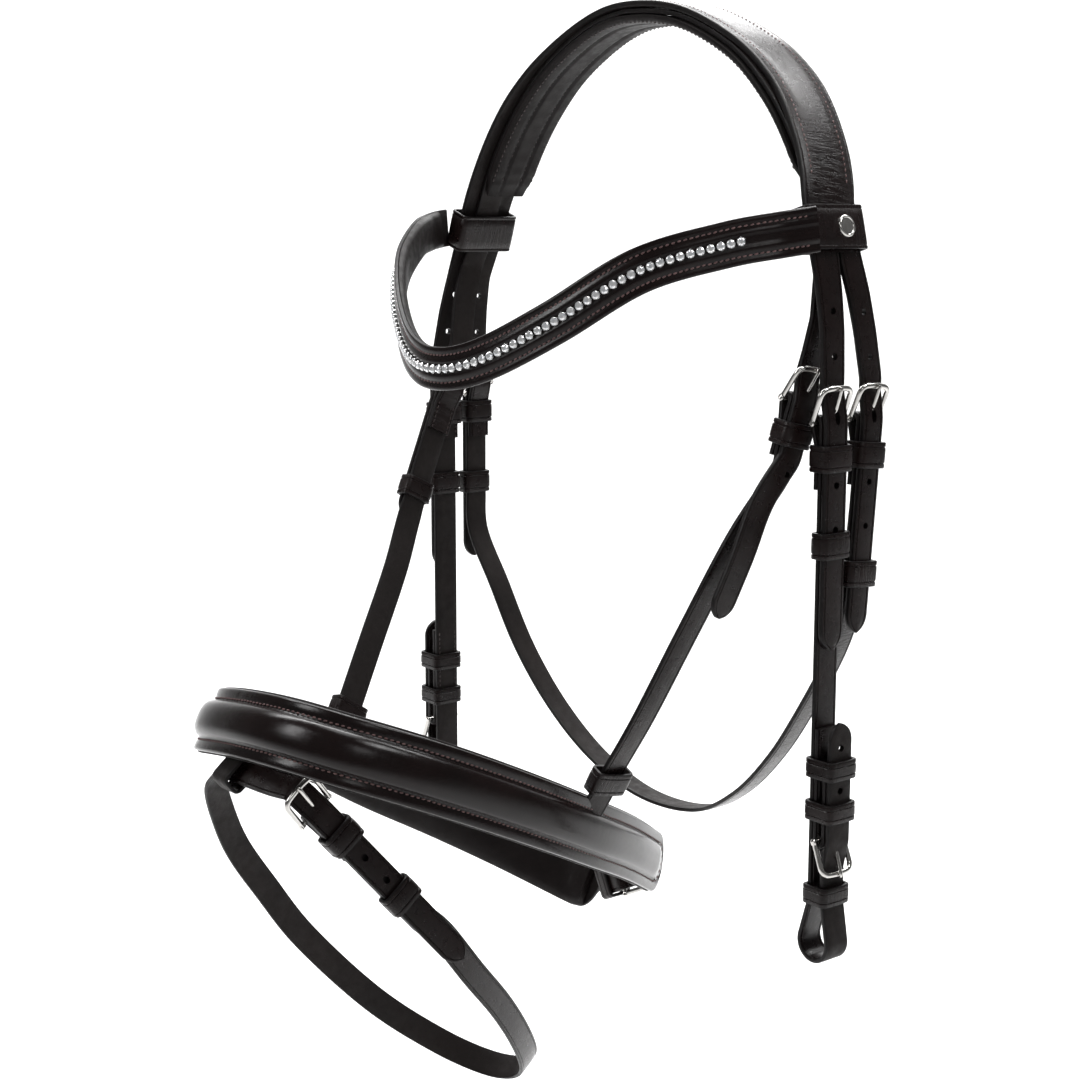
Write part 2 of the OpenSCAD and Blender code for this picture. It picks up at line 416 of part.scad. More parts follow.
module flash_loop() {
  color(leather_c) translate(flash_axis) multmatrix([[1, 0, 0, 0], [0, flash_D[1], flash_V[1], 0], [0, flash_D[2], flash_V[2], 0], [0, 0, 0, 1]]) difference() {
    translate([-6, -10.2, -5.4]) cube([12, 20.4, 10.8]);
    translate([-10, -8.3, -3.7]) cube([20, 16.6, 7.4]);
  }
}

headpiece_leather();
headpiece_pad();
sliphead();
browband_leather();
browband_lining();
browband_loop_near();
browband_loop_far();
crystal_cup_chain();
browband_crystals();
snap_studs();
cheekpiece_near();
cheekpiece_far();
cheek_buckle_near();
cheek_buckle_far();
cheek_tongue_near();
cheek_tongue_far();
cheek_keepers();
cheek_runner_near();
cheek_runner_far();
bit_chape_near();
bit_chape_far();
bit_buckle_near();
bit_buckle_far();
bit_tongue_near();
bit_tongue_far();
bit_keepers();
bit_runner_near();
bit_runner_far();
throatlatch();
throat_buckle_near();
throat_buckle_far();
throat_tongue_near();
throat_tongue_far();
throat_keepers();
throat_runner_near();
throat_runner_far();
noseband_hanger_near();
noseband_hanger_far();
hanger_buckle_near();
hanger_buckle_far();
hanger_tongue_near();
hanger_tongue_far();
hanger_keeper_near();
hanger_runner_far();
noseband_leather();
noseband_lining();
noseband_loops();
chin_billet();
chin_chape();
chin_buckle();
chin_tongue();
chin_keeper();
flash_loop();
flash_strap();
flash_buckle();
flash_tongue();
flash_keeper();
flash_runner();
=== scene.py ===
import bpy, bmesh, math, json
import numpy as np
from mathutils import Vector, Matrix

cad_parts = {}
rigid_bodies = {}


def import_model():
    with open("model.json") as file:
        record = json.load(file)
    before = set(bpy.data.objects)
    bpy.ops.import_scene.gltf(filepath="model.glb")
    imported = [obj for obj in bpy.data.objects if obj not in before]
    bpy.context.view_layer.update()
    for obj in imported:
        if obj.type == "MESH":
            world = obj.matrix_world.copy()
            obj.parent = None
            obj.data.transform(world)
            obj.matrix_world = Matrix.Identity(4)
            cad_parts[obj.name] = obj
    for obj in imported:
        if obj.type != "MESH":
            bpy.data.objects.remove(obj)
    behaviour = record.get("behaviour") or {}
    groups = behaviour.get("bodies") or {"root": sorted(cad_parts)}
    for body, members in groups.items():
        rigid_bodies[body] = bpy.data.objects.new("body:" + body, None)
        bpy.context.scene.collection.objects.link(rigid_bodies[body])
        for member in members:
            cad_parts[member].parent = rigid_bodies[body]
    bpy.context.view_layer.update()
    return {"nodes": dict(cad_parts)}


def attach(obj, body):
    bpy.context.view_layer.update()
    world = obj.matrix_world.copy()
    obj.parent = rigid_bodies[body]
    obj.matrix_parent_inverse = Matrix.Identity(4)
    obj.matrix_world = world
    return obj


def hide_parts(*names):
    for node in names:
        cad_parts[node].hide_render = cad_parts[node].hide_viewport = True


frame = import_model()
rng = np.random.default_rng(11)
NODES = frame["nodes"]

# ------------------------------------------------------------------ vectors
def A(*v): return np.array(v, float)
def unit(v):
    v = np.asarray(v, float); return v / np.linalg.norm(v)
def perp(d, t): d = np.asarray(d, float); return unit(d - (d @ t) * t)
def cr(a, b, c, d, t):
    return 0.5 * (2 * b + (c - a) * t + (2 * a - 5 * b + 4 * c - d) * t * t + (3 * b - a - 3 * c + d) * t ** 3)
def smooth(P, n):
    P = [np.asarray(p, float) for p in P]; m = len(P); out = []
    for i in range(m - 1):
        for k in range(n):
            out.append(cr(P[max(i - 1, 0)], P[i], P[i + 1], P[min(i + 2, m - 1)], k / n))
    out.append(P[-1]); return out
def resample(P, ds, soft=0, D=None):
    """even spacing ds along a polyline, softened by `soft` passes"""
    P = np.asarray(P, float)
    keep = np.concatenate([[True], np.linalg.norm(np.diff(P, axis=0), axis=1) > 1e-6])
    P = P[keep]
    L = np.concatenate([[0], np.cumsum(np.linalg.norm(np.diff(P, axis=0), axis=1))])
    n = max(3, int(round(L[-1] / ds)) + 1)
    s = np.linspace(0, L[-1], n)
    Q = np.stack([np.interp(s, L, P[:, k]) for k in range(P.shape[1])], 1)
    for _ in range(soft):
        Q[1:-1] = 0.25 * Q[:-2] + 0.5 * Q[1:-1] + 0.25 * Q[2:]
    if D is None: return Q
    D = np.asarray(D, float)[keep]
    E = np.stack([np.interp(s, L, D[:, k]) for k in range(3)], 1)
    return Q, E
def tangents(S):
    T = np.empty_like(S); T[1:-1] = S[2:] - S[:-2]; T[0] = S[1] - S[0]; T[-1] = S[-1] - S[-2]
    return T / np.linalg.norm(T, axis=1)[:, None]
def arclen(S): return np.concatenate([[0], np.cumsum(np.linalg.norm(np.diff(S, axis=0), axis=1))])
class Fr:
    """frame of a buckle: Z to the incoming billet, N outwards, W across"""
    def __init__(s, O, N, Z):
        s.O = np.asarray(O, float); s.Z = unit(Z); s.N = perp(N, s.Z); s.W = np.cross(s.N, s.Z)
    def at(s, n, z, w=0.0): return s.O + n * s.N + z * s.Z + w * s.W
    def pts(s, L): return [s.at(*p) for p in L]

# ------------------------------------------------------------------ sizes, as in the solid model (mm)
strap_w, throat_w, strap_t, billet_t = 14.0, 13.0, 2.2, 2.6
bar_x = 135.3; wrap_r = 1.5 + strap_t / 2; main_n = wrap_r; tail_n = 4.0 + billet_t / 2; in_n = 1.2 + billet_t / 2
TILT = math.radians(21.5)
bit_x = bar_x + main_n + strap_t / 2 + 3.9; bit_z = -373.0; loop_n = -(bit_x - bar_x - main_n)
F = {
 "cheek_near": Fr((bar_x, -7, -182), (1, 0, 0), (0, 0, 1)), "cheek_far": Fr((-bar_x, -23, -182), (-1, 0, 0), (0, 0, 1)),
 "throat_near": Fr((bar_x, 16.6, -182), (1, 0, 0), (0, 0.08, 0.997)), "throat_far": Fr((-bar_x, -1.5, -182), (-1, 0, 0), (0, 0, 1)),
 "hanger_near": Fr((122, -13, -173), (1, 0, 0), (0.15, 0.2, 0.968)), "hanger_far": Fr((-121, -30, -182), (-1, 0, 0), (-0.13, 0.44, 0.89)),
 "bit_near": Fr((bit_x, -7, bit_z), (1, 0, 0), (0, 0, -1)), "bit_far": Fr((-bit_x, -23, bit_z), (-1, 0, 0), (0, 0, -1)),
 "chin": Fr((-2, -8, -432), (0, 1, 0), (0.88, 0.02, 0.46)), "flash": Fr((30.5, -211.5, -348), (1, 0, 0), (-0.196, -0.619, 0.761))}
def arc(F_, r, a0=180, a1=0, step=-12): return [F_.at(r * math.cos(math.radians(a)), r * math.sin(math.radians(a))) for a in range(a0, a1 - 1, step)]

# ------------------------------------------------------------------ materials
def mat(name, build):
    m = bpy.data.materials.new(name); m.use_nodes = True
    nt = m.node_tree; nt.nodes.clear()
    out = nt.nodes.new("ShaderNodeOutputMaterial"); b = nt.nodes.new("ShaderNodeBsdfPrincipled")
    nt.links.new(b.outputs[0], out.inputs[0]); build(nt, b); return m
def N(nt, kind, **kw):
    n = nt.nodes.new(kind)
    for k, v in kw.items():
        if k in n.inputs: n.inputs[k].default_value = v
        else: setattr(n, k, v)
    return n
def ramp(nt, src, stops):
    r = nt.nodes.new("ShaderNodeValToRGB"); e = r.color_ramp.elements
    while len(e) < len(stops): e.new(0.5)
    for i, (p, c) in enumerate(stops):
        e[i].position = p; e[i].color = (*c, 1) if len(c) == 3 else c
    nt.links.new(src, r.inputs[0]); return r
def math_(nt, op, a, b=None, c=None):
    m = nt.nodes.new("ShaderNodeMath"); m.operation = op
    for i, v in enumerate((a, b, c)):
        if v is None: continue
        if isinstance(v, (int, float)): m.inputs[i].default_value = v
        else: nt.links.new(v, m.inputs[i])
    return m.outputs[0]
def grain_leather(dark, light, rough, bump, coat, flesh=False, streak=0.0, scale=1.0, spec=0.5):
    def build(nt, b):
        L = nt.links
        tc = N(nt, "ShaderNodeTexCoord"); obj = tc.outputs["Object"]
        big = N(nt, "ShaderNodeTexNoise", Scale=38.0 * scale, Detail=5.0, Roughness=0.6); L.new(obj, big.inputs["Vector"])
        col = ramp(nt, big.outputs[0], [(0.3, dark), (0.72, light)])
        # follicle grain
        vor = N(nt, "ShaderNodeTexVoronoi", Scale=1500.0 * scale); vor.feature = "DISTANCE_TO_EDGE"; L.new(obj, vor.inputs["Vector"])
        fine = N(nt, "ShaderNodeTexNoise", Scale=2600.0 * scale, Detail=3.0, Roughness=0.6); L.new(obj, fine.inputs["Vector"])
        med = N(nt, "ShaderNodeTexNoise", Scale=260.0 * scale, Detail=4.0, Roughness=0.55); L.new(obj, med.inputs["Vector"])
        h = math_(nt, "MULTIPLY", vor.outputs[0], 1.2)
        h = math_(nt, "ADD", h, math_(nt, "MULTIPLY", fine.outputs[0], 0.35))
        h = math_(nt, "ADD", h, math_(nt, "MULTIPLY", med.outputs[0], 1.6))
        if streak:
            uv = N(nt, "ShaderNodeAttribute"); uv.attribute_name = "strap"
            mp = N(nt, "ShaderNodeMapping"); mp.inputs["Scale"].default_value = (60.0, 900.0, 1.0); L.new(uv.outputs["Vector"], mp.inputs["Vector"])
            st = N(nt, "ShaderNodeTexNoise", Scale=1.0, Detail=4.0, Roughness=0.7); L.new(mp.outputs[0], st.inputs["Vector"])
            h = math_(nt, "ADD", h, math_(nt, "MULTIPLY", st.outputs[0], streak))
            mp2 = N(nt, "ShaderNodeMapping"); mp2.inputs["Scale"].default_value = (420.0, 45.0, 1.0); L.new(uv.outputs["Vector"], mp2.inputs["Vector"])
            wr = N(nt, "ShaderNodeTexNoise", Scale=1.0, Detail=3.0, Roughness=0.6, Distortion=0.6); L.new(mp2.outputs[0], wr.inputs["Vector"])
            pat = N(nt, "ShaderNodeTexNoise", Scale=28.0, Detail=1.0); L.new(obj, pat.inputs["Vector"])
            mask = ramp(nt, pat.outputs[0], [(0.5, (0, 0, 0)), (0.66, (1, 1, 1))])
            cr_ = ramp(nt, wr.outputs[0], [(0.42, (1, 1, 1)), (0.5, (0, 0, 0)), (0.58, (1, 1, 1))])
            h = math_(nt, "ADD", h, math_(nt, "MULTIPLY", math_(nt, "MULTIPLY", cr_.outputs[0], mask.outputs[0]), streak * 1.3))
        bp = N(nt, "ShaderNodeBump", Strength=bump, Distance=0.00012); L.new(h, bp.inputs["Height"]); L.new(bp.outputs[0], b.inputs["Normal"])
        rr = ramp(nt, med.outputs[0], [(0.3, (rough * 0.82,) * 3), (0.75, (min(1, rough * 1.25),) * 3)]); L.new(rr.outputs[0], b.inputs["Roughness"])
        L.new(col.outputs[0], b.inputs["Base Color"])
        b.inputs["Coat Weight"].default_value = coat; b.inputs["Coat Roughness"].default_value = 0.16; b.inputs["Coat IOR"].default_value = 1.35
        b.inputs["Specular IOR Level"].default_value = spec
        if flesh:
            b.inputs["Sheen Weight"].default_value = 0.02; b.inputs["Sheen Roughness"].default_value = 0.6
    return build
M = {}
M["leather"] = mat("bridle_leather", grain_leather((0.0050, 0.0026, 0.0025), (0.0105, 0.0055, 0.0052), 0.30, 0.62, 0.16, streak=1.3, spec=0.24))
M["band"] = mat("band_leather", grain_leather((0.0038, 0.0018, 0.0017), (0.0075, 0.0036, 0.0034), 0.21, 0.34, 0.30, streak=0.6, spec=0.24))
M["edge"] = mat("burnished_edge", grain_leather((0.0032, 0.0022, 0.0022), (0.0065, 0.0046, 0.0046), 0.42, 0.35, 0.06, scale=1.3, spec=0.22))
M["flesh"] = mat("flesh_side", grain_leather((0.0060, 0.0040, 0.0037), (0.0125, 0.0088, 0.0080), 0.62, 0.8, 0.0, flesh=True, scale=0.8, spec=0.2))
M["pad"] = mat("lining_leather", grain_leather((0.0048, 0.0032, 0.0031), (0.0098, 0.0070, 0.0068), 0.56, 0.55, 0.05, scale=0.75, spec=0.14))
def thread_build(nt, b):
    tc = N(nt, "ShaderNodeTexCoord"); n = N(nt, "ShaderNodeTexNoise", Scale=900.0, Detail=2.0); nt.links.new(tc.outputs["Object"], n.inputs["Vector"])
    c = ramp(nt, n.outputs[0], [(0.3, (0.075, 0.036, 0.036)), (0.7, (0.20, 0.115, 0.11))]); nt.links.new(c.outputs[0], b.inputs["Base Color"])
    w = N(nt, "ShaderNodeTexWave", Scale=1400.0, Distortion=1.0); nt.links.new(tc.outputs["Object"], w.inputs["Vector"])
    bp = N(nt, "ShaderNodeBump", Strength=0.5, Distance=0.0001); nt.links.new(w.outputs[1], bp.inputs["Height"]); nt.links.new(bp.outputs[0], b.inputs["Normal"])
    b.inputs["Roughness"].default_value = 0.5; b.inputs["Sheen Weight"].default_value = 0.03
M["thread"] = mat("waxed_thread", thread_build)
def dark_thread(nt, b):
    tc = N(nt, "ShaderNodeTexCoord"); n = N(nt, "ShaderNodeTexNoise", Scale=900.0, Detail=2.0); nt.links.new(tc.outputs["Object"], n.inputs["Vector"])
    c = ramp(nt, n.outputs[0], [(0.3, (0.016, 0.010, 0.010)), (0.7, (0.045, 0.028, 0.027))]); nt.links.new(c.outputs[0], b.inputs["Base Color"])
    b.inputs["Roughness"].default_value = 0.5
M["thread_dark"] = mat("waxed_thread_dark", dark_thread)
def steel_build(base, rough, bump=0.12):
    def build(nt, b):
        tc = N(nt, "ShaderNodeTexCoord")
        n = N(nt, "ShaderNodeTexNoise", Scale=160.0, Detail=5.0, Roughness=0.65); nt.links.new(tc.outputs["Object"], n.inputs["Vector"])
        c = ramp(nt, n.outputs[0], [(0.3, tuple(x * 0.86 for x in base)), (0.7, base)]); nt.links.new(c.outputs[0], b.inputs["Base Color"])
        r = ramp(nt, n.outputs[0], [(0.3, (rough * 0.7,) * 3), (0.75, (rough * 1.5,) * 3)]); nt.links.new(r.outputs[0], b.inputs["Roughness"])
        sc = N(nt, "ShaderNodeTexNoise", Scale=1800.0, Detail=2.0); nt.links.new(tc.outputs["Object"], sc.inputs["Vector"])
        bp = N(nt, "ShaderNodeBump", Strength=bump, Distance=0.00004); nt.links.new(sc.outputs[0], bp.inputs["Height"]); nt.links.new(bp.outputs[0], b.inputs["Normal"])
        b.inputs["Metallic"].default_value = 1.0
    return build
M["steel"] = mat("polished_steel", steel_build((0.66, 0.645, 0.62), 0.16))
M["silver"] = mat("silver_cup", steel_build((0.80, 0.80, 0.80), 0.14))
def crystal_build(nt, b):
    tc = N(nt, "ShaderNodeTexCoord"); n = N(nt, "ShaderNodeTexVoronoi", Scale=620.0); nt.links.new(tc.outputs["Object"], n.inputs["Vector"])
    c = ramp(nt, n.outputs[0], [(0.0, (0.80, 0.84, 0.90)), (0.6, (1.0, 1.0, 1.0))]); nt.links.new(c.outputs[0], b.inputs["Base Color"])
    b.inputs["Roughness"].default_value = 0.03; b.inputs["IOR"].default_value = 1.62
    b.inputs["Transmission Weight"].default_value = 0.35; b.inputs["Metallic"].default_value = 0.55
M["crystal"] = mat("cut_crystal", crystal_build)

# ------------------------------------------------------------------ mesh helpers
def new_obj(name, verts, faces, mats, fmat=None, uv=None, smooth_=True, angle=38):
    me = bpy.data.meshes.new(name)
    me.from_pydata([tuple(v) for v in (np.asarray(verts, float) * 0.001)], [], faces)
    for m in mats: me.materials.append(M[m])
    if fmat is not None: me.polygons.foreach_set("material_index", np.asarray(fmat, np.int32))
    if uv is not None:
        at = me.attributes.new("strap", "FLOAT_VECTOR", "POINT")
        at.data.foreach_set("vector", np.asarray(uv, np.float32).ravel())
    me.update(); me.validate()
    if smooth_: me.shade_smooth()
    o = bpy.data.objects.new(name, me); bpy.context.scene.collection.objects.link(o)
    if smooth_ and angle:
        try: me.set_sharp_from_angle(angle=math.radians(angle))
        except Exception: pass
    return o
def put(o, body, *nodes, slot="leather"):
    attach(o, body)
    if nodes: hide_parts(*nodes)
    return o
def strap_sec(hw, t, c=0.0, crease=1.5, cd=0.22, crown=0.12, r=0.6, both=False):
    """closed section, counter-clockwise from the flesh side; returns points and material per edge (0 grain, 1 edge, 2 flesh)"""
    r = min(r, hw * 0.5, t * 0.45); h = t / 2
    k = min(crease, hw * 0.62)
    q = min(0.42, hw * 0.2)
    b = [(-hw + r, -h), (-hw * 0.35, -h), (hw * 0.35, -h), (hw - r, -h)]
    e = [(hw - 0.3 * r, -h + 0.3 * r), (hw, -h + r), (hw, h - r), (hw - 0.3 * r, h - 0.3 * r)]
    g = [(hw - r, h), (hw - k + q, h + crown * 0.15), (hw - k + q * 0.35, h - cd * 0.8), (hw - k - q * 0.35, h - cd * 0.8), (hw - k - q, h + crown * 0.25), (hw * 0.4, h + crown * 0.85), (0, h + crown)]
    gm = [(-x, y) for x, y in g[:-1]][::-1]
    em = [(-x, y) for x, y in e][::-1]
    P = b + e + g + gm + em
    m = [2, 2, 2] + [1] * 5 + [0] * (len(g) + len(gm) - 1) + [1] * 5
    P = [(x, y + c) for x, y in P]
    return P, m
def sweep(S, D, secf, closed=False):
    """verts, faces, face materials, uv for a section swept along S; secf(i) -> points, materials"""
    S = np.asarray(S, float); T = tangents(S)
    if closed:
        T = np.roll(S, -1, 0) - np.roll(S, 1, 0); T /= np.linalg.norm(T, axis=1)[:, None]
    D = np.asarray(D, float)
    if D.ndim == 1: D = np.tile(D, (len(S), 1))
    W = D - (D * T).sum(1)[:, None] * T; W /= np.linalg.norm(W, axis=1)[:, None]
    Nn = np.cross(T, W); L = arclen(S)
    V = []; U = []; k = None
    for i in range(len(S)):
        P, m = secf(i); k = len(P)
        for (x, y) in P:
            V.append(S[i] + x * W[i] + y * Nn[i]); U.append((L[i] * 0.001, x * 0.001, y * 0.001))
    Fc = []; FM = []
    n = len(S)
    for i in range(n if closed else n - 1):
        a, b_ = i * k, ((i + 1) % n) * k
        for j in range(k):
            j2 = (j + 1) % k
            Fc.append((a + j, a + j2, b_ + j2, b_ + j)); FM.append(m[j])
    if not closed:
        Fc.append(tuple(range(k))[::-1]); FM.append(1)
        Fc.append(tuple(range((n - 1) * k, n * k))); FM.append(1)
    return V, Fc, FM, U, S, W, Nn, L
def tipf(s, L, length, end):
    """width factor near a pointed end"""
    if not length: return 1.0
    d = (s if end == 0 else L - s) / length
    if d >= 1: return 1.0
    return max(0.10, (1 - (1 - d) ** 2.1) ** 0.62)
def strap(name, path, D, w, t, body, nodes=(), tips=(0, 0), ds=2.2, soft=3, c=0.0, mats=("leather", "edge", "flesh"), wf=None, holes=(), crease=1.6, cd=0.34, crown=0.2, flip=False):
    if isinstance(D, (list, tuple)) and len(D) == len(path) and np.ndim(D) == 2 and len(path) != 3:
        S, DD = resample(path, 0.8, soft * 3, D)
    else:
        S = resample(path, 0.8, soft * 3); DD = np.tile(np.asarray(D, float), (len(S), 1))
    step = max(1, int(round(ds / 0.8)))
    idx = sorted(set(list(range(0, len(S), step)) + [len(S) - 1] + (list(range(0, 18)) if tips[0] else []) + (list(range(len(S) - 18, len(S))) if tips[1] else [])))
    # keep tight bends dense
    T = tangents(S); bend = np.concatenate([[0], np.degrees(np.arccos(np.clip((T[1:] * T[:-1]).sum(1), -1, 1)))])
    idx = sorted(set(idx) | {i for i in range(len(S)) if bend[i] > 2.0})
    S2, D2 = S[idx], DD[idx]; L = arclen(S)[idx]; Lt = L[-1]
    def secf(i):
        hw = w / 2 * (wf(L[i] / Lt) if wf else 1.0) * tipf(L[i], Lt, tips[0], 0) * tipf(L[i], Lt, tips[1], 1)
        P, m = strap_sec(hw, t, c, crease, cd, crown)
        if flip: P = [(x, 2 * c - y) for x, y in P][::-1]; m = m[-2::-1] + m[-1:]
        return P, m
    V, Fc, FM, U, S3, W3, N3, L3 = sweep(S2, D2, secf)
    o = new_obj(name, V, Fc, mats, FM, U)
    o["_path"] = 1
    if holes: cut_holes(o, holes)
    put(o, body, *nodes); return o, (S2, W3, N3, L3)
def cut_holes(o, holes):
    """holes: list of (centre, axis, radius, half length[, stretch dir, stretch])"""
    V = []; Fc = []
    for h in holes:
        c, ax, r, hl = h[:4]; ax = unit(ax)
        u = perp((0.31, 0.52, 0.79) if abs(ax @ unit((0.31, 0.52, 0.79))) < 0.9 else (1, 0, 0), ax); v = np.cross(ax, u)
        if len(h) > 4: u = perp(h[4], ax); v = np.cross(ax, u)
        sx = h[5] if len(h) > 5 else 1.0
        b0 = len(V); n = 20
        for s_ in (-hl, hl):
            for k in range(n):
                a = 2 * math.pi * k / n; V.append(np.asarray(c) + s_ * ax + r * sx * math.cos(a) * u + r * math.sin(a) * v)
        Fc += [(b0 + k, b0 + (k + 1) % n, b0 + n + (k + 1) % n, b0 + n + k) for k in range(n)]
        Fc += [tuple(b0 + k for k in range(n))[::-1], tuple(b0 + n + k for k in range(n))]
    c_ = new_obj("cutter", V, Fc, ["edge"], smooth_=False)
    m = o.modifiers.new("b", "BOOLEAN"); m.operation = "DIFFERENCE"; m.object = c_; m.solver = "EXACT"
    try: m.material_mode = "INDEX"
    except Exception: pass
    dg = bpy.context.evaluated_depsgraph_get(); ev = o.evaluated_get(dg)
    me = bpy.data.meshes.new_from_object(ev); o.modifiers.clear(); old = o.data
    if len(me.polygons) > 10:
        o.data = me; me.shade_smooth()
        try: me.set_sharp_from_angle(angle=math.radians(32))
        except Exception: pass
    bpy.data.objects.remove(c_)
def capsules(name, places, body, material="thread", r=0.36, ln=1.9):
    """stitches: (centre, along, up) each a little bent pill"""
    V = []; Fc = []; seg = 6; rings = [(-1.0, 0.0), (-0.86, 0.62), (-0.4, 1.0), (0.4, 1.0), (0.86, 0.62), (1.0, 0.0)]
    for (c, t, u) in places:
        t = unit(t); u = perp(u, t); v = np.cross(t, u); b0 = len(V)
        for (a, f) in rings:
            cc = np.asarray(c) + t * (a * ln / 2) - u * (0.28 * abs(a) ** 2.5)
            if f == 0: V.append(cc)
            else:
                for k in range(seg):
                    an = 2 * math.pi * k / seg
                    V.append(cc + r * f * (math.cos(an) * v * 1.05 + math.sin(an) * u * 0.85))
        n0 = b0 + 1
        Fc += [(b0, n0 + (k + 1) % seg, n0 + k) for k in range(seg)]
        for q in range(3):
            a0 = n0 + q * seg
            Fc += [(a0 + k, a0 + (k + 1) % seg, a0 + seg + (k + 1) % seg, a0 + seg + k) for k in range(seg)]
        e = n0 + 4 * seg; a0 = n0 + 3 * seg
        Fc += [(a0 + k, a0 + (k + 1) % seg, e) for k in range(seg)]
    o = new_obj(name, V, Fc, [material], angle=None); put(o, body, slot="leather"); return o
def seam(S, W, Nn, off, height, s0, s1, pitch=2.7, slant=10.0, jitter=0.05):
    """stitch places along a strap at width offset and height above its middle"""
    L = arclen(np.asarray(S)); out = []
    s = s0
    while s <= s1:
        p = np.array([np.interp(s, L, S[:, k]) for k in range(3)])
        w = unit([np.interp(s, L, W[:, k]) for k in range(3)]); n = unit([np.interp(s, L, Nn[:, k]) for k in range(3)])
        t = unit(np.cross(w, n)); a = math.radians(slant + rng.normal(0, 2.5))
        hh = height(s) if callable(height) else height
        out.append((p + (off + rng.normal(0, jitter)) * w + hh * n, t * math.cos(a) + w * math.sin(a), n))
        s += pitch
    return out

# ------------------------------------------------------------------ headpiece
def crown(n):
    """the top of the headpiece, the same superellipse as in the CAD"""
    return [(139.1 * max(0.0, 1 - ((z + 142) / 153) ** n) ** (1 / n), z) for z in (11, 6, -11, -31, -52, -76)]


arch = crown(2.1) + [(133, -100), (137.4, -122), (139.1, -142)]
arch_far = crown(1.85) + [(132, -100), (137.2, -122), (139.1, -142)]
def arch3(y0=0.0, cut=9, d=0.0, n=6):
    """outer line of the headpiece from near to far, moved inwards by d"""
    full = [A(p[0], y0, p[1]) for p in arch[:cut]][::-1] + [A(-p[0], y0, p[1]) for p in arch_far[1:cut]]
    P = np.array(smooth(full, n)); T = tangents(P); n_ = np.cross(T, A(0, 1, 0))
    return P + n_ * d
# outer leather: width and side shift vary along it
P = arch3()
Lp = arclen(P); Lt = Lp[-1]
zz = P[:, 2]
def plan(z, near):
    # front and rear edge (y) of the headpiece by height
    tab = [(20, -12, 20), (10, -12, 20), (-30, -9 if near else -17, 23 if near else 15), (-62, -13.5 if near else -17.5, 18 if near else 15), (-84, -18, 13), (-106, -18, 12.6 if near else 12)]
    zs = [t[0] for t in tab][::-1]
    return float(np.interp(z, zs, [t[1] for t in tab][::-1])), float(np.interp(z, zs, [t[2] for t in tab][::-1]))
keepi = [i for i in range(len(P)) if zz[i] > -109]
Pk = P[keepi]
mid = []; half = []
for p in Pk:
    a, b = plan(p[2], p[0] > 0); mid.append((p[0], (a + b) / 2, p[2])); half.append((b - a) / 2)
mid = np.array(mid); half = np.array(half)
S = resample(np.column_stack([mid, half]), 2.4, 2); S, H = S[:, :3], S[:, 3]
T = tangents(S)
def head_sec(i):
    hw = H[i]
    pts, m = strap_sec(hw, 3.0, 1.5, crease=1.8, cd=0.18, crown=0.25, r=0.7)
    # outer side of the leather is -N here (N points inwards), so mirror the section
    return [(x, 3.0 - y) for x, y in pts][::-1], (m[-2::-1] + m[-1:])
V, Fc, FM, U, S_, W_, N_, L_ = sweep(S, (0, 1, 0), head_sec)
head = new_obj("headpiece", V, Fc, ["leather", "edge", "flesh"], FM, U)
put(head, "headstall", "headpiece_leather")
st = []
for off, hgt in ((-1, -0.15), (1, -0.15)):
    Lh = arclen(S)
    offs = lambda s: 0
    s = 34.0
    while s < Lh[-1] - 34:
        hw = float(np.interp(s, Lh, H)); p = np.array([np.interp(s, Lh, S[:, k]) for k in range(3)])
        w = unit([np.interp(s, Lh, W_[:, k]) for k in range(3)]); n = unit([np.interp(s, Lh, N_[:, k]) for k in range(3)]); t = unit(np.cross(w, n))
        a = math.radians(10 + rng.normal(0, 2.5))
        st.append((p + off * (hw - 5.0) * w + hgt * n, t * math.cos(a) + w * math.sin(a), -n)); s += 2.7
capsules("headpiece_stitching", st, "headstall")

# pad under the headpiece: a rolled, stuffed strip with two sewn channels
def pad_sec(hw, t, end):
    P = []; g = []
    xs = np.linspace(-1, 1, 33)
    for x in xs:                                     # inner, padded face (towards +N)
        a = abs(x); roll = (1 - a ** 6) ** 0.5 if a < 1 else 0
        d = 1.1 * math.exp(-((a - 0.40) / 0.06) ** 2)
        P.append((x * hw, -t * 0.10 + (t * 0.60 * roll - d) * end)); g.append(0)
    P = P[::-1]
    lo = [(x * hw * 0.985, -t * 0.42 + t * 0.10 * abs(x) ** 4) for x in np.linspace(-1, 1, 15)]
    P = lo + P
    return P, [2] * 14 + [1] + [0] * 32 + [1]
pad_path = arch3(3.0, 9, 3.3 + 2.7 + 2.25)
pad_path = pad_path[pad_path[:, 2] > -80.0]
pad_path = resample(pad_path, 2.2, 6)
T = tangents(pad_path); Lq = arclen(pad_path); Lt = Lq[-1]
def endf(s, Lt, ln): 
    d = min(s, Lt - s) / ln
    return 1.0 if d >= 1 else 0.30 + 0.70 * math.sin(d * math.pi / 2)
def psec(i):
    e = endf(Lq[i], Lt, 16.0); P, m = pad_sec(15.3 * (0.70 + 0.30 * e), 4.6, e)
    ripple = 0.35 * math.sin(Lq[i] * 0.9) * max(0, 1 - min(Lq[i], Lt - Lq[i]) / 26)
    return [(x, y + (ripple if y > 0 else 0)) for x, y in P], m
V, Fc, FM, U, S_, W_, N_, L_ = sweep(pad_path, (0, 1, 0), psec)
pad = new_obj("headpiece_lining", V, Fc, ["pad", "edge", "flesh"], FM, U, angle=60)
put(pad, "headstall", "headpiece_pad", slot="pad_leather")
st = []
for off in (-6.1, 6.1):
    st += [(c, t, n) for c, t, n in seam(S_, W_, N_, off, 1.25, 10, Lt - 10, pitch=3.0, slant=0)]
for off in (-12.9, 12.9):
    st += [(c, t, n) for c, t, n in seam(S_, W_, N_, off, 1.95, 10, Lt - 10, pitch=3.0, slant=4)]
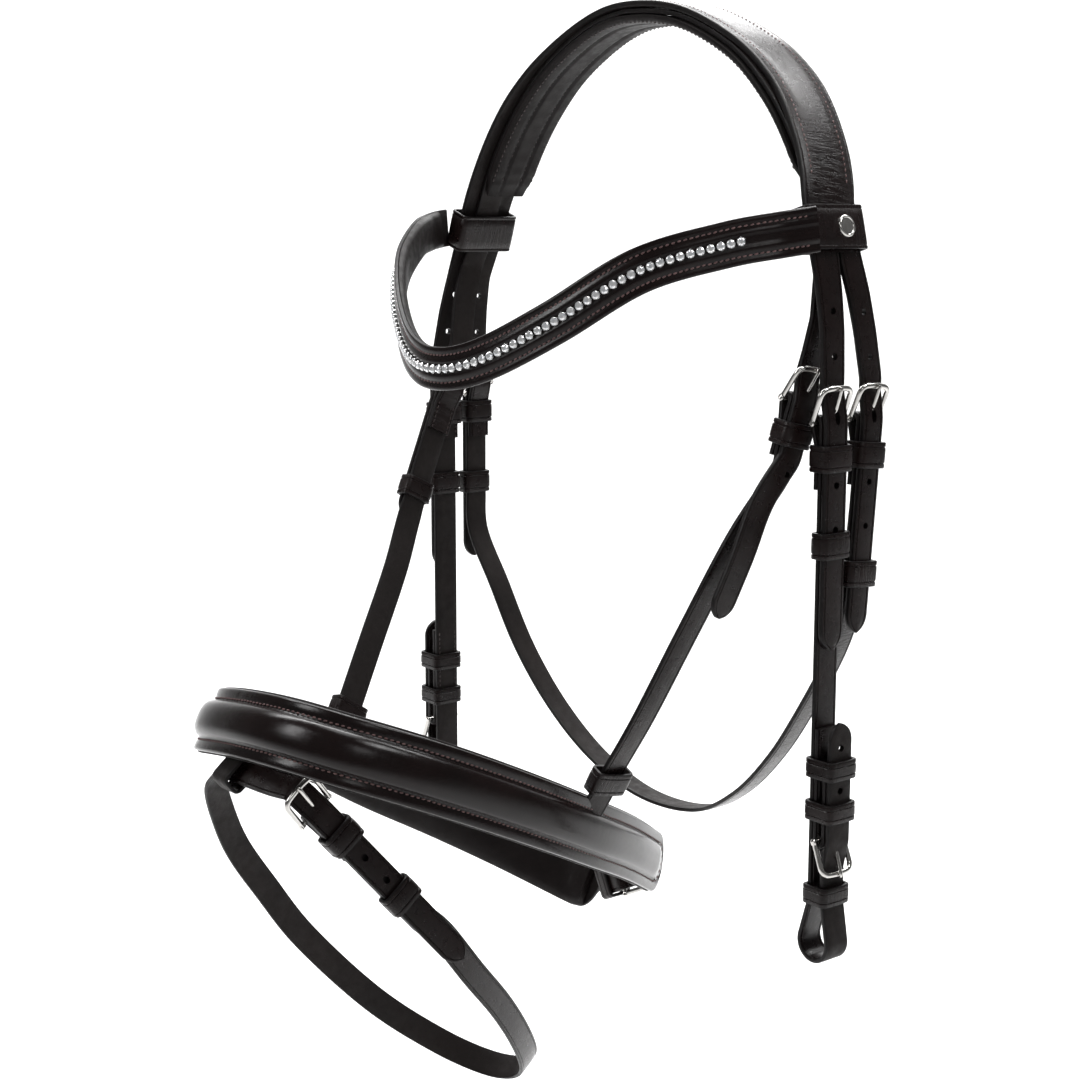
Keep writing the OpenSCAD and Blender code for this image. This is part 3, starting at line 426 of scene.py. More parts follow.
capsules("headpiece_lining_stitching", st, "headstall", material="thread_dark", r=0.32, ln=1.9)

# ------------------------------------------------------------------ billets of the headpiece
def bez(z, tab, k):
    zs = [t[0] for t in tab][::-1]; return float(np.interp(z, zs, [t[k] for t in tab][::-1]))
def outer_x(z, A_):
    pts = [tuple(p) for p in smooth([np.array(q, float) for q in A_], 6)] + [(139.1, -168.5), (141.9, -181.5), (141.9, -300)]
    pts = [p for p in pts if p[1] < -60]; zs = [p[1] for p in pts][::-1]
    return float(np.interp(z, zs, [p[0] for p in pts][::-1]))
def billet(name, sgn, A_, tab, zend, holes, slotz, node=(), hole_r=1.65):
    """tab rows: z, y of the middle, width"""
    P = []; Wd = []
    for z in np.arange(-99.0, zend - 0.01, -1.0):
        x = outer_x(z, A_); t = 3.0 + (2.6 - 3.0) * min(1, max(0, (-z - 104) / 40)); P.append((sgn * (x - t / 2), bez(z, tab, 1), z)); Wd.append(bez(z, tab, 2))
    S = resample(np.column_stack([P, Wd]), 0.8, 8); Wd = S[:, 3]; S = S[:, :3]
    L = arclen(S); Lt = L[-1]
    idx = sorted(set(list(range(0, len(S), 3)) + list(range(len(S) - 20, len(S))))); S2 = S[idx]; W2 = Wd[idx]; L2 = L[idx]
    def secf(i):
        f = tipf(L2[i], Lt, 9.0, 1); return strap_sec(W2[i] / 2 * f, 2.6, 0, crease=1.75, cd=0.42, crown=0.30, r=0.75)
    V, Fc, FM, U, S3, W3, N3, L3 = sweep(S2, (0, 1 * sgn, 0), secf)
    o = new_obj(name, V, Fc, ["leather", "edge", "flesh"], FM, U)
    cut = []
    for (y, z) in holes: cut.append(((sgn * (outer_x(z, A_) - 1.3), y, z), (1, 0, 0), hole_r, 4.0, (0, 0, 1), 1.0))
    cut.append(((sgn * (outer_x(slotz, A_) - 1.3), bez(slotz, tab, 1), slotz), (1, 0, 0), 1.5, 5.0, (0, 0, 1), 2.2))
    cut_holes(o, cut); put(o, "headstall", *node)
    return o, S3, W3, N3, L3
tabs = {
 "front_near": [(-90, -9.6, 16.4), (-106, -9.45, 16.9), (-120, -9.2, 15.6), (-140, -8.0, 14.4), (-160, -7, 14), (-286, -7, 14)],
 "rear_near": [(-90, 6.0, 13.6), (-106, 6.1, 13.6), (-114, 7.0, 14.0), (-140, 12.6, 13.2), (-164, 18.0, 13.0), (-268, 9.7, 13.0), (-281, 8.7, 13)],
 "front_far": [(-90, -12.3, 11.4), (-106, -12.6, 11.6), (-124, -14.4, 13.6), (-145, -19, 14), (-164, -23, 14), (-286, -23, 14)],
 "rear_far": [(-90, 2.7, 18.4), (-106, 2.7, 18.0), (-124, 0.5, 13.4), (-164, -1.5, 13), (-282, -1.5, 13)]}
b1 = billet("front_billet_near", 1, arch, tabs["front_near"], -285, [(bez(z, tabs["front_near"], 1), z) for z in (-133, -153, -193.5, -210, -230)], -180.0, node=())
b2 = billet("rear_billet_near", 1, arch, tabs["rear_near"], -279.5, [(bez(z, tabs["rear_near"], 1), z) for z in (-134, -154, -210, -230)], -180.5, hole_r=1.5)
b3 = billet("front_billet_far", -1, arch_far, tabs["front_far"], -285, [(bez(z, tabs["front_far"], 1), z) for z in (-133, -153, -210, -230)], -180.0)
b4 = billet("rear_billet_far", -1, arch_far, tabs["rear_far"], -281.5, [(bez(z, tabs["rear_far"], 1), z) for z in (-134, -154, -210, -230)], -180.5, hole_r=1.5)

# ------------------------------------------------------------------ keepers, buckles, tongues
def keeper(name, F_, sw, n0, n1, h, z, body, nodes=(), wall=1.7, c=0.45, corner=1.9, mats=("leather", "edge", "flesh"), bulge=0.5, crease=2.3, cd=0.42):
    """a sewn leather ring: rounded rectangle swept with a creased section"""
    a = sw / 2 + c + wall / 2; lo = n0 - wall / 2; hi = n1 + wall / 2
    r = min(corner, (hi - lo) / 2 - 0.1, a - 0.1); pts = []
    for cx, cy, a0 in ((a - r, hi - r, 90), (a - r, lo + r, 0), (-a + r, lo + r, -90), (-a + r, hi - r, -180)):
        for k in range(7):
            an = math.radians(a0 - 15 * k); pts.append((cx + r * math.cos(an), cy + r * math.sin(an)))
    # straight runs get their own stations, with a slight swell on the outer face
    loop = []
    for i in range(len(pts)):
        p, q = np.array(pts[i]), np.array(pts[(i + 1) % len(pts)]); loop.append(p); d = np.linalg.norm(q - p)
        m = int(d // 1.6)
        for k in range(1, m + 1): loop.append(p + (q - p) * k / (m + 1))
    S = []
    for x, y in loop:
        if y > (lo + hi) / 2: y = y + bulge * (1 - (x / a) ** 2)
        S.append(F_.at(y, z, x))
    S = np.array(S)
    def secf(i):
        return strap_sec(h / 2, wall, 0, crease=crease, cd=cd, crown=0.12, r=0.55)
    V, Fc, FM, U, *_ = sweep(S, -F_.Z, secf, closed=True)
    o = new_obj(name, V, Fc, mats, FM, U); put(o, body, *nodes); return o
def pipe(S, R, seg=12, D=None, flat=1.0, closed=False, caps=True):
    """round or oval bar along S; R radius list; flat squeezes it along the second axis"""
    S = np.asarray(S, float); n = len(S); R = np.full(n, R) if np.isscalar(R) else np.asarray(R)
    if closed:
        T = np.roll(S, -1, 0) - np.roll(S, 1, 0); T /= np.linalg.norm(T, axis=1)[:, None]
    else: T = tangents(S)
    V = []; Fc = []
    for i in range(n):
        w = perp(D, T[i]); b = np.cross(T[i], w)
        for k in range(seg):
            an = 2 * math.pi * k / seg; cx, cy = math.cos(an), math.sin(an)
            V.append(S[i] + R[i] * cx * w + R[i] * flat * cy * b)
    for i in range(n if closed else n - 1):
        a, b_ = i * seg, ((i + 1) % n) * seg
        Fc += [(a + k, a + (k + 1) % seg, b_ + (k + 1) % seg, b_ + k) for k in range(seg)]
    if not closed and caps:
        Fc += [tuple(range(seg))[::-1], tuple(range((n - 1) * seg, n * seg))]
    return V, Fc
def add(A_, B_):
    V, Fc = A_; v, f = B_; o = len(V); return V + v, Fc + [tuple(k + o for k in q) for q in f]
def plate(F_, w, v, off=0.0):
    """point on the leaning plane of a buckle frame: w across, v away from the bar, off above it"""
    return F_.at(v * math.sin(TILT) + off * math.cos(TILT), v * math.cos(TILT) - off * math.sin(TILT), w)
def buckle(name, F_, sw, body, node, mat_="steel"):
    a = sw / 2 + 2.2; P = []
    for v in np.linspace(-0.6, 11.5, 9): P.append((a + 0.15 * (v / 11.5) ** 2, v))
    r = 3.6; cx, cv = a + 0.15 - r, 12.4
    for k in range(0, 8): an = math.radians(k * 90 / 7); P.append((cx + r * math.cos(an), cv + r * math.sin(an)))
    top = cv + r
    half = P; mid_ = [(x, top + 0.32 * (1 - (x / cx) ** 2)) for x in np.linspace(cx, -cx, 11)[1:-1]]
    full = half + mid_ + [(-x, v) for x, v in half[::-1]]
    S = resample([plate(F_, x, v) for x, v in full], 0.7, 2)
    L = arclen(S); R = np.full(len(S), 1.24)
    nrm = F_.N * math.cos(TILT) - F_.Z * math.sin(TILT)
    for i in range(len(S)):
        e = min(L[i], L[-1] - L[i]); R[i] = 1.24 + 0.42 * max(0, 1 - e / 2.4) ** 1.5 + 0.10 * math.exp(-((L[i] - L[-1] / 2) / 6) ** 2)
    G = pipe(S, R, seg=16, D=nrm, flat=1.06)
    G = add(G, pipe([F_.at(0, 0, x) for x in np.linspace(-sw / 2 - 3.1, sw / 2 + 3.1, 15)], 1.25, seg=14, D=F_.Z))
    for s_ in (-1, 1):   # peened ends of the bar
        G = add(G, pipe([F_.at(0, 0, s_ * (sw / 2 + x)) for x in (2.6, 3.0, 3.35, 3.5)], [1.7, 1.75, 1.35, 0.5], seg=14, D=F_.Z))
    o = new_obj(name, G[0], G[1], [mat_], angle=50); put(o, body, node, slot="steel"); return o
def tongue(name, F_, body, node, mat_="steel"):
    S = []; R = []
    for v in np.linspace(1.2, 18.1, 26):
        t_ = (v - 1.2) / 16.9
        off = 2.38 * min(1, 0.35 + 0.65 * min(1, t_ * 3.2) ** 0.7) + 0.30 * math.sin(math.pi * min(1, t_ / 0.8)) - (0.75 * max(0, (t_ - 0.86) / 0.14) ** 2)
        S.append(plate(F_, 0, v, off)); R.append(1.05 - 0.22 * t_ if t_ < 0.97 else 0.62)
    nrm = F_.N * math.cos(TILT) - F_.Z * math.sin(TILT)
    G = pipe(S, R, seg=12, D=F_.W, flat=0.95)
    G = add(G, pipe([S[-1] + (F_.Z * 0.0), S[-1] + (np.array(S[-1]) - np.array(S[-2])) * 0.35], [0.62, 0.2], seg=12, D=F_.W))
    ring = [F_.at(2.15 * math.sin(a_), 2.15 * math.cos(a_)) for a_ in np.linspace(0, 2 * math.pi, 29)[:-1]]
    G = add(G, pipe(ring, 1.12, seg=10, D=F_.W, flat=0.72, closed=True))
    o = new_obj(name, G[0], G[1], [mat_], angle=50); put(o, body, node, slot="steel"); return o
for side in ("near", "far"):
    buckle("cheek_frame_" + side, F["cheek_" + side], strap_w, "headstall", "cheek_buckle_" + side)
    buckle("throat_frame_" + side, F["throat_" + side], throat_w, "headstall", "throat_buckle_" + side)
    buckle("hanger_frame_" + side, F["hanger_" + side], strap_w, "headstall", "hanger_buckle_" + side)
    buckle("bit_frame_" + side, F["bit_" + side], strap_w, "headstall", "bit_buckle_" + side)
    for k in ("cheek", "throat", "hanger", "bit"):
        nm = k + "_tongue_" + side; tongue(k + "_pin_" + side, F[k + "_" + side], nm, nm)
buckle("chin_frame", F["chin"], strap_w, "noseband", "chin_buckle"); tongue("chin_pin", F["chin"], "chin_tongue", "chin_tongue")
buckle("flash_frame", F["flash"], 13.0, "flash", "flash_buckle"); tongue("flash_pin", F["flash"], "flash_tongue", "flash_tongue")

fold_in, tail_out = -1.25, 6.95
for side in ("near", "far"):
    keeper("cheek_keeper_" + side, F["cheek_" + side], strap_w, fold_in, tail_out, 12, -16, "headstall")
    keeper("throat_keeper_" + side, F["throat_" + side], throat_w, fold_in, tail_out, 12, -16, "headstall")
    keeper("cheek_slider_" + side, F["cheek_" + side], strap_w, 1.15, tail_out, 12, -55, "cheek_runner_" + side, ["cheek_runner_" + side])
    keeper("bit_slider_" + side, F["bit_" + side], strap_w, loop_n - strap_t / 2 - 0.35, tail_out, 9, -34, "bit_runner_" + side, ["bit_runner_" + side])
    keeper("bit_keeper_upper_" + side, F["bit_" + side], strap_w, loop_n - strap_t / 2 - 0.35, tail_out, 9, -14, "headstall")
    keeper("bit_keeper_lower_" + side, F["bit_" + side], strap_w, loop_n - strap_t / 2 - 0.35, in_n + billet_t / 2 + 0.75, 9, 26, "headstall")
keeper("throat_slider_near", F["throat_near"], throat_w, -1.6, tail_out, 12, -70, "throat_runner_near", ["throat_runner_near"], c=1.2)
keeper("throat_slider_far", F["throat_far"], throat_w, 1.15, tail_out, 12, -56, "throat_runner_far", ["throat_runner_far"])
keeper("hanger_keeper_ring", F["hanger_near"], strap_w, fold_in, tail_out, 11, -15, "headstall", ["hanger_keeper_near"])
keeper("hanger_slider_far", F["hanger_far"], strap_w, 1.15, tail_out + 0.5, 11, -60, "hanger_runner_far", ["hanger_runner_far"])
keeper("chin_keeper_ring", F["chin"], strap_w, -wrap_r - strap_t / 2 - 0.3, tail_out, 8, -9.5, "noseband", ["chin_keeper"])
flash_t = 2.0; f_main = 1.5 + flash_t / 2; f_tail = 1.5 + flash_t + 0.3 + flash_t / 2; f_in = 1.2 + flash_t / 2; f_out = 1.5 + 2 * flash_t + 0.65
keeper("flash_keeper_ring", F["flash"], 13.0, -1.25, f_out, 11, -16, "flash", ["flash_keeper"], wall=1.5)
keeper("flash_slider", F["flash"], 13.0, 1.15, f_out, 11, -56, "flash_runner", ["flash_runner"], wall=1.5)
for o in bpy.data.objects:
    if o.name == "cheek_keeper_near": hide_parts("cheek_keepers")
    if o.name == "throat_keeper_near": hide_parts("throat_keepers")
    if o.name == "bit_keeper_upper_near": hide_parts("bit_keepers")
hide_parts("headpiece_leather")

# ------------------------------------------------------------------ cheekpieces and chapes
def fold_pts(F_, ret, r=wrap_r):
    return [F_.at(0.2, -ret), F_.at(0.2, -11), F_.at(-r, -1.5)] + arc(F_, r) + [F_.at(r, -6)]
def slot_cut(F_, n, z, across=None, ln=2.4): return (F_.at(n, z), F_.N, 1.6, 3.2, F_.Z, ln)
for i, side in enumerate(("near", "far")):
    s_ = 1 if i == 0 else -1; Fc_ = F["cheek_" + side]; B = F["bit_" + side]
    lr = 7.25 + billet_t / 2
    loop = [B.at(-2.2 + lr * math.cos(math.radians(a)), 49.5 + lr * math.sin(math.radians(a))) for a in range(200, -21, -8)]
    path = fold_pts(Fc_, 30) + [Fc_.at(main_n, -40), Fc_.at(main_n, -150), B.at(loop_n, 18), B.at(loop_n, 29)] + loop + \
        [B.at(in_n + 0.3, 29), B.at(in_n, 14), B.at(tail_n, 1), B.at(tail_n, -20), B.at(tail_n, -46), B.at(tail_n, -55.5)]
    # the loop runs the other way round in the bit frame (its Z points down)
    o, fr = strap("cheek_strap_" + side, path, (0, s_, 0), strap_w, strap_t, "headstall", ["cheekpiece_" + side], tips=(0, 8.5), soft=1, cd=0.38,
        holes=[(B.at(tail_n, z), B.N, 1.6, 3.0) for z in (-24, -44)])
    F2 = B; chape = [F2.at(-wrap_r, -52), F2.at(-wrap_r, -1.5)] + arc(F2, wrap_r) + [F2.at(wrap_r, -6), F2.at(wrap_r, -30)]
    o2, fr2 = strap("bit_tab_" + side, chape, (0, s_, 0), strap_w, strap_t, "headstall", ["bit_chape_" + side], soft=1, crease=1.3)
    # stitches on the flesh side of the chape and on the cheek fold
    st = []
    for w_ in (-5.2, 5.2):
        for z in np.arange(-50, -20, 2.7): st.append((F2.at(loop_n - strap_t / 2 - 0.1, z, w_), F2.Z + 0.12 * F2.W, -F2.N))
        for z in np.arange(-29, -21, 2.7): st.append((Fc_.at(0.2 - strap_t / 2 - 0.1, z, w_), Fc_.Z + 0.12 * Fc_.W, -Fc_.N))
    capsules("cheek_stitching_" + side, st, "headstall", material="thread_dark", r=0.34, ln=1.8)

# ------------------------------------------------------------------ throatlatch
TN, TF = F["throat_near"], F["throat_far"]
tl = [TN.at(main_n, -40), TN.at(main_n - 0.8, -70)] + [A(*p) for p in ((133.5, 13, -272), (123, 15.5, -294), (104, 19, -322), (79, 24, -353), (48, 30, -381), (12, 36, -400),
  (-26, 32, -401), (-60, 26, -387), (-87, 18, -362), (-108, 10, -330), (-123, 3, -294))] + [TF.at(main_n - 2, -84), TF.at(main_n, -62), TF.at(main_n, -40)]
tp = fold_pts(TN, 30) + smooth(tl, 8) + fold_pts(TF, 30)[::-1]
strap("throat_strap", tp, (0, 1, 0), throat_w, strap_t, "headstall", ["throatlatch"], soft=1, crease=1.5, cd=0.38)

# ------------------------------------------------------------------ sliphead
slip_t = 2.4; slip_in = 1.2 + slip_t / 2; slip_tail = 4.0 + slip_t / 2; HN, HF = F["hanger_near"], F["hanger_far"]
def slip_line(A_, sgn):
    q = smooth([np.array(p, float) for p in A_[:7]], 4); out = []
    for i, p in enumerate(q):
        t = unit(q[min(i + 1, len(q) - 1)] - q[max(i - 1, 0)]); nx, nz = (0, -1) if i == 0 else (t[1], -t[0])
        out.append(A(sgn * (p[0] + 4.5 * nx), -4, p[1] + 4.5 * nz))
    return out
sn = smooth([A(117, -55, -268), A(120.5, -44, -242), A(121.5, -33, -218), HN.at(slip_tail + 0.5, -26)], 6) + [HN.at(slip_tail, -10), HN.at(slip_tail, 1), HN.at(slip_in, 13), HN.at(slip_in, 22)] + [A(131.3, -7.5, -136), A(131.2, -6, -118)]
sf = [A(-131, -9, -118), A(-129, -15, -136), HF.at(slip_in, 24), HF.at(slip_in, 13), HF.at(slip_tail, 1), HF.at(slip_tail, -10), HF.at(slip_tail + 0.1, -24), HF.at(slip_tail + 0.3, -50), HF.at(slip_tail + 0.4, -76)]
hs = [(HN.at(slip_tail, z), HN.N, 1.6, 3.0) for z in (-33, -54)] 
strap("slip_strap", sn + slip_line(arch, 1)[::-1] + slip_line(arch_far, -1)[1:] + sf, (0, 1, 0), strap_w, slip_t, "headstall", ["sliphead"], tips=(9, 9), soft=2, holes=hs, flip=True)

# ------------------------------------------------------------------ noseband hangers
hang_end = [A(71, -81, -353), A(-83.5, -125.3, -346.5)]
hang_pts = [[A(114, -41, -235), A(101, -57, -276), A(87, -71, -317), A(75, -79.3, -344), hang_end[0]], [A(-106, -78, -276), A(-95, -101.5, -311), A(-88.5, -115, -331), hang_end[1]]]
hang_dir = [unit(hang_pts[0][3] - hang_end[0]), unit(hang_pts[1][2] - hang_end[1])]
for i, (side, H_) in enumerate((("near", HN), ("far", HF))):
    s_ = 1 if i == 0 else -1
    lead = fold_pts(H_, 26); low = smooth([H_.at(main_n, -22 if i == 0 else -30), H_.at(main_n, -34 if i == 0 else -74)] + hang_pts[i], 8)
    D_ = [-H_.W * 1.0] * (len(lead) + 8) + [A(0, s_, 0)] * (len(low) - 8)
    o, fr = strap("hanger_strap_" + side, lead + low, D_, strap_w, strap_t, "headstall", ["noseband_hanger_" + side], soft=1, cd=0.38)
    SF = Fr(hang_end[i], (s_, 0, 0), hang_dir[i])
    keeper("hanger_sleeve_" + side, SF, strap_w, -2.5, 2.5, 12, 5, "noseband", wall=1.6, c=1.9, corner=1.6)
    # stitched chape ends where the strap folds back
    st = []
    for w_ in (-5.0, 5.0):
        for z in np.arange(-25, -9, 2.7): st.append((H_.at(0.2 - strap_t / 2 - 0.1, z, w_), H_.Z + 0.12 * H_.W, -H_.N))
    capsules("hanger_stitching_" + side, st, "headstall", material="thread_dark", r=0.34, ln=1.8)
for o in bpy.data.objects:
    if o.name == "hanger_sleeve_near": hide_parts("noseband_loops")

# ------------------------------------------------------------------ browband
brow_mid = [A(*p) for p in ((138.2, -22.4, -98), (133.5, -36, -100), (118, -55, -104.5), (93, -82, -115.5), (61, -104, -138.5), (28, -119, -156), (0, -124, -161),
  (-28, -119, -156), (-61, -104, -139), (-93, -82, -119), (-118, -55, -104), (-133.5, -36, -99.5), (-138.2, -22.6, -97))]
brow_s = np.array(smooth(brow_mid, 4))[::-1]; brow_fine = resample(([A(138.6, -19.6, -97.6)] + list(smooth(brow_mid, 12)) + [A(-138.6, -19.8, -96.8)])[::-1], 1.9, 2); Lb = arclen(brow_fine); LbT = Lb[-1]
def band_sec(i):
    h = 10.0
    top = [(h, 0.55), (h - 0.35, 0.95), (h - 1.0, 1.12), (h - 2.6, 1.12), (h - 3.35, 0.80), (h - 4.1, 0.82), (h - 4.9, 1.34), (h - 6.6, 1.5), (2.6, 1.45), (2.2, 1.28), (0.9, 1.28), (0, 1.28)]
    m_ = [(-x, y) for x, y in top[:-1]][::-1]
    lo = [(-h, 0.55), (-h, -0.8), (-h + 0.5, -1.2), (-4, -1.2), (4, -1.2), (h - 0.5, -1.2), (h, -0.8)]
    P = lo + top + m_[:-1]
    m = [1, 1, 2, 2, 2, 1, 1] + [0] * (len(top) + len(m_) - 2) + [0]
    return P, m[:len(P)]
V, Fc, FM, U, S_, W_, N_, L_ = sweep(brow_fine, (0, 0, 1), band_sec)
bb = new_obj("browband_strip", V, Fc, ["band", "edge", "flesh"], FM, U, angle=42); put(bb, "browband", "browband_leather")
def lin_sec(i):
    e = min(1.0, min(Lb[i], LbT - Lb[i]) / 12.0)
    P = [(-8.4, -4.1), (-7.2, -4.75), (-3, -4.9), (3, -4.9), (7.2, -4.75), (8.4, -4.1), (9.5, -2.6), (9.75, -1.35), (9.4, -1.1), (-9.4, -1.1), (-9.75, -1.35), (-9.5, -2.6)]
    return [(x, -1.2 + (y + 1.2) * (0.35 + 0.65 * e)) for x, y in P], [0] * 8 + [1] + [0] * 3
V, Fc, FM, U, *_ = sweep(brow_fine[4:-4], (0, 0, 1), lambda i: lin_sec(i + 4))
bl = new_obj("browband_padding", V, Fc, ["pad", "edge"], FM, U, angle=60); put(bl, "browband", "browband_lining", slot="pad_leather")
st = []
for off in (-6.3, 6.3): st += seam(S_, W_, N_, off, 0.98, 5, LbT - 5, pitch=2.6, slant=9)
capsules("browband_stitching", st, "browband", r=0.36, ln=1.85)
for i, (side, O_, Z_, n0) in enumerate((("near", (131.2, -3, -97.5), (-0.24, 0, 0.97), -5.9), ("far", (-131, -3, -97.5), (0.33, 0, 0.944), -7.4))):
    LF = Fr(O_, (1 if i == 0 else -1, 0, 0), Z_)
    keeper("browband_ring_" + side, LF, 31.4, n0, 3.4, 20, 0, "browband", ["browband_loop_" + side], wall=1.6, c=0.8, corner=2.4, crease=1.8, cd=0.22, bulge=0.25)
# snap studs: a rolled rim round a shallow dished face
V = []; Fc = []
for i, (O_, Z_) in enumerate((((131.2, -3, -97.5), (-0.24, 0, 0.97)), ((-131, -3, -97.5), (0.33, 0, 0.944)))):
    LF = Fr(O_, (1 if i == 0 else -1, 0, 0), Z_); cw = -4 if i == 0 else 4; prof = [(5.0, 5.05), (5.05, 5.7), (4.85, 6.2), (4.45, 6.42), (4.05, 6.3), (3.85, 5.95), (3.6, 5.85), (2.6, 6.15), (1.4, 6.35), (0.4, 6.42)]
    b0 = len(V); n = 36
    for r, h in prof:
        for k in range(n): a = 2 * math.pi * k / n; V.append(LF.at(h, r * math.sin(a), cw + r * math.cos(a)))
    for j in range(len(prof) - 1):
        Fc += [(b0 + j * n + k, b0 + j * n + (k + 1) % n, b0 + (j + 1) * n + (k + 1) % n, b0 + (j + 1) * n + k) for k in range(n)]
    Fc.append(tuple(b0 + (len(prof) - 1) * n + k for k in range(n)))
    Fc.append(tuple(b0 + k for k in range(n))[::-1])
o = new_obj("snap_stud_caps", V, Fc, ["steel"], angle=40); put(o, "browband", "snap_studs", slot="steel")
# crystals: cut stones in four-clawed cups
Ls = arclen(brow_s)
CV = []; CF = []; KV = []; KF = []
def ring(b, n, q, r, h, ph=0.0):
    c, t, w, nn = q; return [c + r * math.cos(2 * math.pi * (k + ph) / n) * t + r * math.sin(2 * math.pi * (k + ph) / n) * w + h * nn for k in range(n)]
for j in range(73):
    d = Ls[-1] / 2 + (j - 36) * 4.45; i = min(len(Ls) - 2, int(np.searchsorted(Ls, d) - 1)); i = max(i, 0)
    p = brow_s[i] + (brow_s[i + 1] - brow_s[i]) * (d - Ls[i]) / (Ls[i + 1] - Ls[i]); t = unit(brow_s[i + 1] - brow_s[i]); w = perp((0, 0, 1), t); nn = np.cross(t, w); q = (p, t, w, nn)
    sp = 0.12 * math.sin(j * 2.4)
    # cup
    b0 = len(CV); n = 16
    for r, h in ((1.75, 1.1), (2.02, 1.45), (2.05, 2.25), (1.93, 2.42), (1.78, 2.3), (1.6, 1.7), (0.6, 1.5)): CV.extend(ring(b0, n, q, r, h))
    for s_ in range(6): CF += [(b0 + s_ * n + k, b0 + s_ * n + (k + 1) % n, b0 + (s_ + 1) * n + (k + 1) % n, b0 + (s_ + 1) * n + k) for k in range(n)]
    CF.append(tuple(b0 + 6 * n + k for k in range(n)))
    for k in range(4):      # claws bent over the stone
        a = math.pi / 4 + k * math.pi / 2; dr = math.cos(a) * t + math.sin(a) * w; sd = -math.sin(a) * t + math.cos(a) * w
        b1_ = len(CV)
        for r, h, hw in ((2.02, 1.6, 0.42), (2.0, 2.5, 0.36), (1.72, 2.95, 0.30), (1.42, 3.1, 0.2)):
            for e in (-1, 1): CV.append(p + dr * r + nn * h + sd * hw * e); CV.append(p + dr * (r - 0.2) + nn * (h - 0.14) + sd * hw * e)
        for s_ in range(3):
            a0 = b1_ + s_ * 4; c0 = a0 + 4
            CF += [(a0, a0 + 2, c0 + 2, c0), (a0 + 2, a0 + 3, c0 + 3, c0 + 2), (a0 + 3, a0 + 1, c0 + 1, c0 + 3), (a0 + 1, a0, c0, c0 + 1)]
        CF.append((b1_ + 12, b1_ + 14, b1_ + 15, b1_ + 13))
    # stone: table, star/bezel facets, girdle, pavilion
    b0 = len(KV)
    KV += ring(b0, 8, q, 0.92, 3.28, sp); KV += ring(b0, 8, q, 1.42, 3.0, sp + 0.5); KV += ring(b0, 16, q, 1.76, 2.58, sp * 2); KV += ring(b0, 16, q, 1.76, 2.46, sp * 2); KV.append(p + 1.55 * nn)
    KF.append(tuple(b0 + k for k in range(8)))
    for k in range(8):
        k2 = (k + 1) % 8; T_ = b0; Mi = b0 + 8; G_ = b0 + 16; H2 = b0 + 32
        KF += [(T_ + k, Mi + k, T_ + k2)]
        KF += [(T_ + k2, Mi + k, G_ + (2 * k + 2) % 16, Mi + k2)]
        KF += [(Mi + k, G_ + (2 * k) % 16, G_ + (2 * k + 1) % 16), (Mi + k, G_ + (2 * k + 1) % 16, G_ + (2 * k + 2) % 16)]
    for k in range(16): KF += [(b0 + 16 + k, b0 + 32 + k, b0 + 32 + (k + 1) % 16, b0 + 16 + (k + 1) % 16), (b0 + 32 + k, b0 + 48, b0 + 32 + (k + 1) % 16)]
o = new_obj("cup_chain", CV, CF, ["silver"], angle=35); put(o, "browband", "crystal_cup_chain", slot="chain")
o = new_obj("cut_stones", KV, KF, ["crystal"], smooth_=False); put(o, "browband", "browband_crystals", slot="crystal")

# ------------------------------------------------------------------ noseband
nose_mid = [A(*p) for p in ((24, -5, -419), (48, -44, -396), (66, -82, -376), (76, -120, -356.5), (78, -158, -338), (74, -189, -324), (61, -214, -314), (36, -229, -309), (2, -232.5, -311),
  (-34, -227, -318), (-58, -205, -328), (-74, -176, -342), (-80, -142, -359), (-80, -108, -380), (-77, -70, -402), (-66, -34, -424), (-44, -10, -440), (-22, -6, -443))]
ns = smooth(nose_mid, 10); nd = []
for i in range(len(ns)):
    f = i / (len(ns) - 1); nd.append(unit((-0.25 + f * 0.7, 0.42, 0.88) if f < 0.5 else (0.1 - (f - 0.5) * 0.5, 0.42, 0.88)))
NS, ND = resample(ns[::-1], 1.9, 2, nd[::-1]); LN = arclen(NS); LNT = LN[-1]
def endround(s, ln=11.0):
    d = min(s, LNT - s) / ln
    return 1.0 if d >= 1 else max(0.22, (1 - (1 - d) ** 2.2) ** 0.5)
def crownf(s):
    d = (min(s, LNT - s) - 7.0) / 16.0
    return 0.0 if d <= 0 else (1.0 if d >= 1 else math.sin(d * math.pi / 2))
def nose_sec(i):
    f = endround(LN[i]); c = crownf(LN[i]); h = 15.0 * f
    b = min(4.6, h * 0.34)                    # flat border
    top = [(h, 0.9), (h - 0.12, 1.55), (h - 0.55, 2.05), (h - 1.2, 2.3), (h - b + 0.9, 2.25), (h - b, 1.95), (h - b - 0.9, 1.82), (h - b - 1.6, 2.15)]
    inner = h - b - 1.6
    for u in (0.93, 0.84, 0.72, 0.57, 0.40, 0.2, 0.0):
        top.append((inner * u, 2.15 + (4.0 * c + 0.25) * (1 - u ** 2.6) ** 0.62))
    m_ = [(-x, y) for x, y in top[:-1]][::-1]
    lo = [(-h, 0.4), (-h + 0.4, 0.0), (-h * 0.4, 0.0), (h * 0.4, 0.0), (h - 0.4, 0.0), (h, 0.4)]
    P = lo + top + m_
    m = [1, 2, 2, 2, 1, 1, 1] + [0] * (len(top) + len(m_) - 2) + [1]
    return P, m[:len(P)]
V, Fc, FM, U, S_, W_, N_, L_ = sweep(NS, ND, nose_sec)
nb = new_obj("noseband_strap", V, Fc, ["band", "edge", "flesh"], FM, U, angle=48); put(nb, "noseband", "noseband_leather")
st = []
